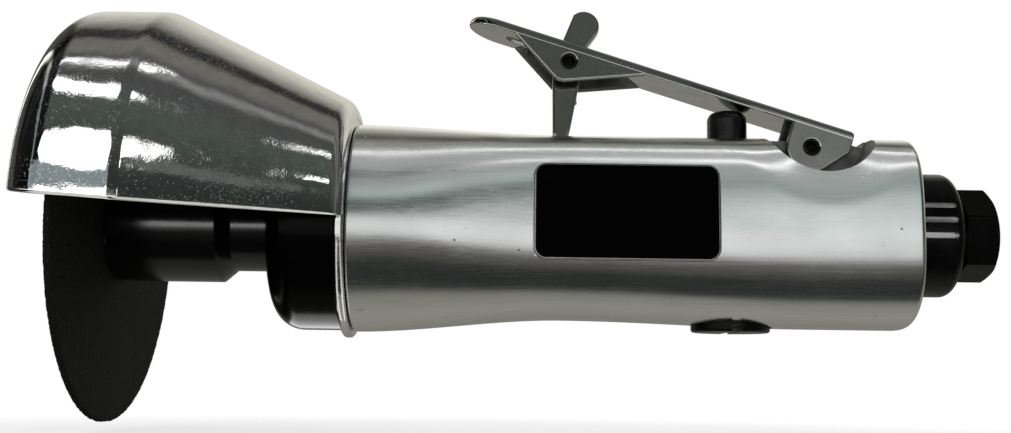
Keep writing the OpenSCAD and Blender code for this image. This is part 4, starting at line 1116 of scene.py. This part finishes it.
def studio():
    bm = bmesh.new()
    bmesh.ops.create_icosphere(bm, subdivisions=5, radius=STUDIO_R)
    material = FINISH["studio"] = bpy.data.materials.new("studio")
    material.use_nodes = True
    tree = material.node_tree
    way = add(tree, "SeparateXYZ", {0: add(tree, "TexCoord").outputs["Object"]})
    angle = maths(tree, way.outputs[2], maths(tree, way.outputs[1], -1.0), "ARCTAN2")
    colours = [(*[(OPEN_LEVEL if level is OPEN else level) * c for c in tint], float(level is not OPEN))
               for _, level, tint in CARDS]
    cards = ramp(tree, span(tree, angle, -pi, pi, 0, 1),
                 [(degrees + 180) / 360 for degrees, _, _ in CARDS], colours)
    across = maths(tree, way.outputs[0], STUDIO_R, "DIVIDE")
    sides = ramp(tree, span(tree, across, -1, 1, 0, 1), [(side + 1) / 2 for side, _ in SIDES],
                 [(*grey(level), 1) for _, level in SIDES])
    shut = maths(tree, cards.outputs["Alpha"], span(tree, across, SHUT_FROM, SHUT_TO, 0, 1), "MAXIMUM")
    card = add(tree, "Emission", {"Color": cards.outputs["Color"], "Strength": sides.outputs["Color"]})
    mixed_surface(tree, shut, add(tree, "BsdfTransparent"), card)
    material.cycles.emission_sampling = "NONE"
    obj = new_object("studio", new_mesh("studio", bm, ["studio"]))
    obj.visible_camera = obj.visible_diffuse = obj.visible_transmission = obj.visible_shadow = False


def softbox(target, lit, name, tall, wide, level, roll=0, oval=False, tint=PLAIN):
    """A lamp on some pieces that spans the given angles: tall about the spindle's axis, wide across it."""
    low, high = radians(tall[0]), radians(tall[1])
    left, right = radians(wide[0]), radians(wide[1])
    t, w = (low + high) / 2, (left + right) / 2
    way = Vector((sin(w), -cos(w) * cos(t), cos(w) * sin(t)))
    lamp = bpy.data.lights.new(name, "AREA")
    lamp.shape = "ELLIPSE" if oval else "RECTANGLE"
    lamp.color = tint
    lamp.size = 2 * LAMP_AWAY * tan((right - left) / 2)
    lamp.size_y = 2 * LAMP_AWAY * tan((high - low) / 2)
    area = lamp.size * lamp.size_y * (pi / 4 if oval else 1)
    lamp.energy = level * pi * area
    obj = new_object(name, lamp)
    obj.location = Vector(target) * MM + way * LAMP_AWAY
    up = Vector((0, sin(t), cos(t)))
    across = up.cross(way).normalized()
    axes = Matrix((across, way.cross(across), way)).transposed()
    obj.rotation_euler = (axes @ Matrix.Rotation(radians(roll), 3, "Z")).to_euler()
    obj.visible_camera = False
    group = bpy.data.collections.new(name + "_lit")
    for node in lit:
        group.objects.link(bpy.data.objects[node + "_look"])
    obj.light_linking.receiver_collection = group


# Lamps are aimed at the side of the guard or of the grip that shows them, LAMP_AWAY metres from it
LAMP_AWAY = 1.6
GUARD_SIDE = (-165.0, -35.0, 15.0)
KNEE_SIDE = (-155.0, -32.0, 18.0)
CONE_SIDE = (-130.0, -25.0, 10.0)
GRIP_SIDE = (-70.0, -18.0, 0.0)
WHEEL_END = ["guard", "wheel_spindle", "cutting_wheel"]
LEVERS = ["throttle_lever", "lock_off_lever"]
on_guard = partial(softbox, GUARD_SIDE, WHEEL_END)
on_knee = partial(softbox, KNEE_SIDE, WHEEL_END)
on_cone = partial(softbox, CONE_SIDE, WHEEL_END)
on_grip = partial(softbox, GRIP_SIDE, ["housing"])


# Camera: it stands low in front of the grip and looks up a little
CAMERA_AT = (-94.36, -240.73, -28.65)
CAMERA_PITCH = radians(9.5)
CAMERA_ROLL = radians(0.8)
LENS, SENSOR, SHIFT_Y = 43.88, 36.0, -0.0445


def camera():
    ahead = Vector((0, cos(CAMERA_PITCH), sin(CAMERA_PITCH)))
    up = Vector((0, -sin(CAMERA_PITCH), cos(CAMERA_PITCH)))
    right = Vector((1, 0, 0))
    c, s = cos(CAMERA_ROLL), sin(CAMERA_ROLL)
    axes = Matrix((right * c + up * s, up * c - right * s, -ahead)).transposed().to_4x4()
    data = bpy.data.cameras.new("camera")
    data.sensor_fit = "HORIZONTAL"
    data.sensor_width = SENSOR
    data.lens = LENS
    data.shift_y = SHIFT_Y
    data.clip_start = 0.01
    obj = new_object("camera", data)
    obj.matrix_world = Matrix.Translation(Vector(CAMERA_AT) * MM) @ axes
    bpy.context.scene.camera = obj


floor()
world()
studio()
# Each lamp has a name, the angles that it spans up and across, and a level, of which 1 is white in a mirror
on_guard("left_low", (24.4, 39.2), (-26.9, -12.1), 3.0, roll=45)
on_guard("left_high", (66.1, 71.5), (-28, -13), 3.0, roll=-48)
on_guard("left_top", (84, 88), (-26, -10), 1.2, roll=-4, oval=True)
on_guard("left_front", (3, 11), (-44, -10), 3.0)
on_guard("left_fill", (10, 24), (-44, -9), 0.3, tint=BLUE)
on_knee("middle_low", (29, 40), (27.5, 32.5), 3.0, oval=True)
on_knee("middle_line", (23, 27), (27.5, 31.5), 2.5, oval=True)
on_knee("middle_spot", (5, 11), (28, 29.8), 3.0, oval=True)
on_knee("middle_high", (61, 68), (22, 25.4), 3.0, oval=True)
on_knee("middle_top", (83, 88), (17.3, 19.3), 3.0, oval=True)
on_cone("cone_haze", (24, 31), (31, 41), 0.08, oval=True)
on_cone("right_low", (38, 42), (39.3, 40.7), 2.5)
on_cone("right_high", (63, 67), (33.3, 34.3), 2.5)
softbox(GUARD_SIDE, ["guard"], "under_guard_left", (-120, -20), (-42, -10), 0.7)
softbox(GUARD_SIDE, ["guard"], "under_guard_right", (-120, -20), (12, 48), 0.7)
softbox(CONE_SIDE, ["wheel_spindle"], "flange_glint", (-9, 3), (-40, 14), 3.5)
softbox(CONE_SIDE, ["clamp_nut"], "under_nut", (-160, -119), (-20, 10), 4.0)
on_grip("grip_low", (5, 17), (7, 30), 0.62, tint=COOL)
on_grip("grip_middle", (25, 38), (-14, 7), 0.55, tint=COOL)
on_grip("grip_rear", (17, 38), (7, 30), 0.36, tint=COOL)
on_grip("grip_upper", (38, 50), (-14, 28), 0.33)
on_grip("grip_streak", (52, 58), (0, 36), 2.0)
on_grip("grip_high", (58, 80), (-14, 28), 0.38)
on_grip("grip_edge", (82, 86), (-14, 36), 2.6)
on_grip("grip_top", (92, 107), (-14, 28), 0.16, tint=WARM)
on_grip("grip_back", (140, 172), (-20, 40), 0.3, tint=WARM)
softbox(GRIP_SIDE, ["throttle_lever"], "ear", (8, 14), (12, 26), 0.15)
softbox(GRIP_SIDE, LEVERS, "paddle", (8, 21), (-8, 9), 0.045, tint=WARM)
camera()
bpy.context.scene.view_settings.view_transform = "Standard"
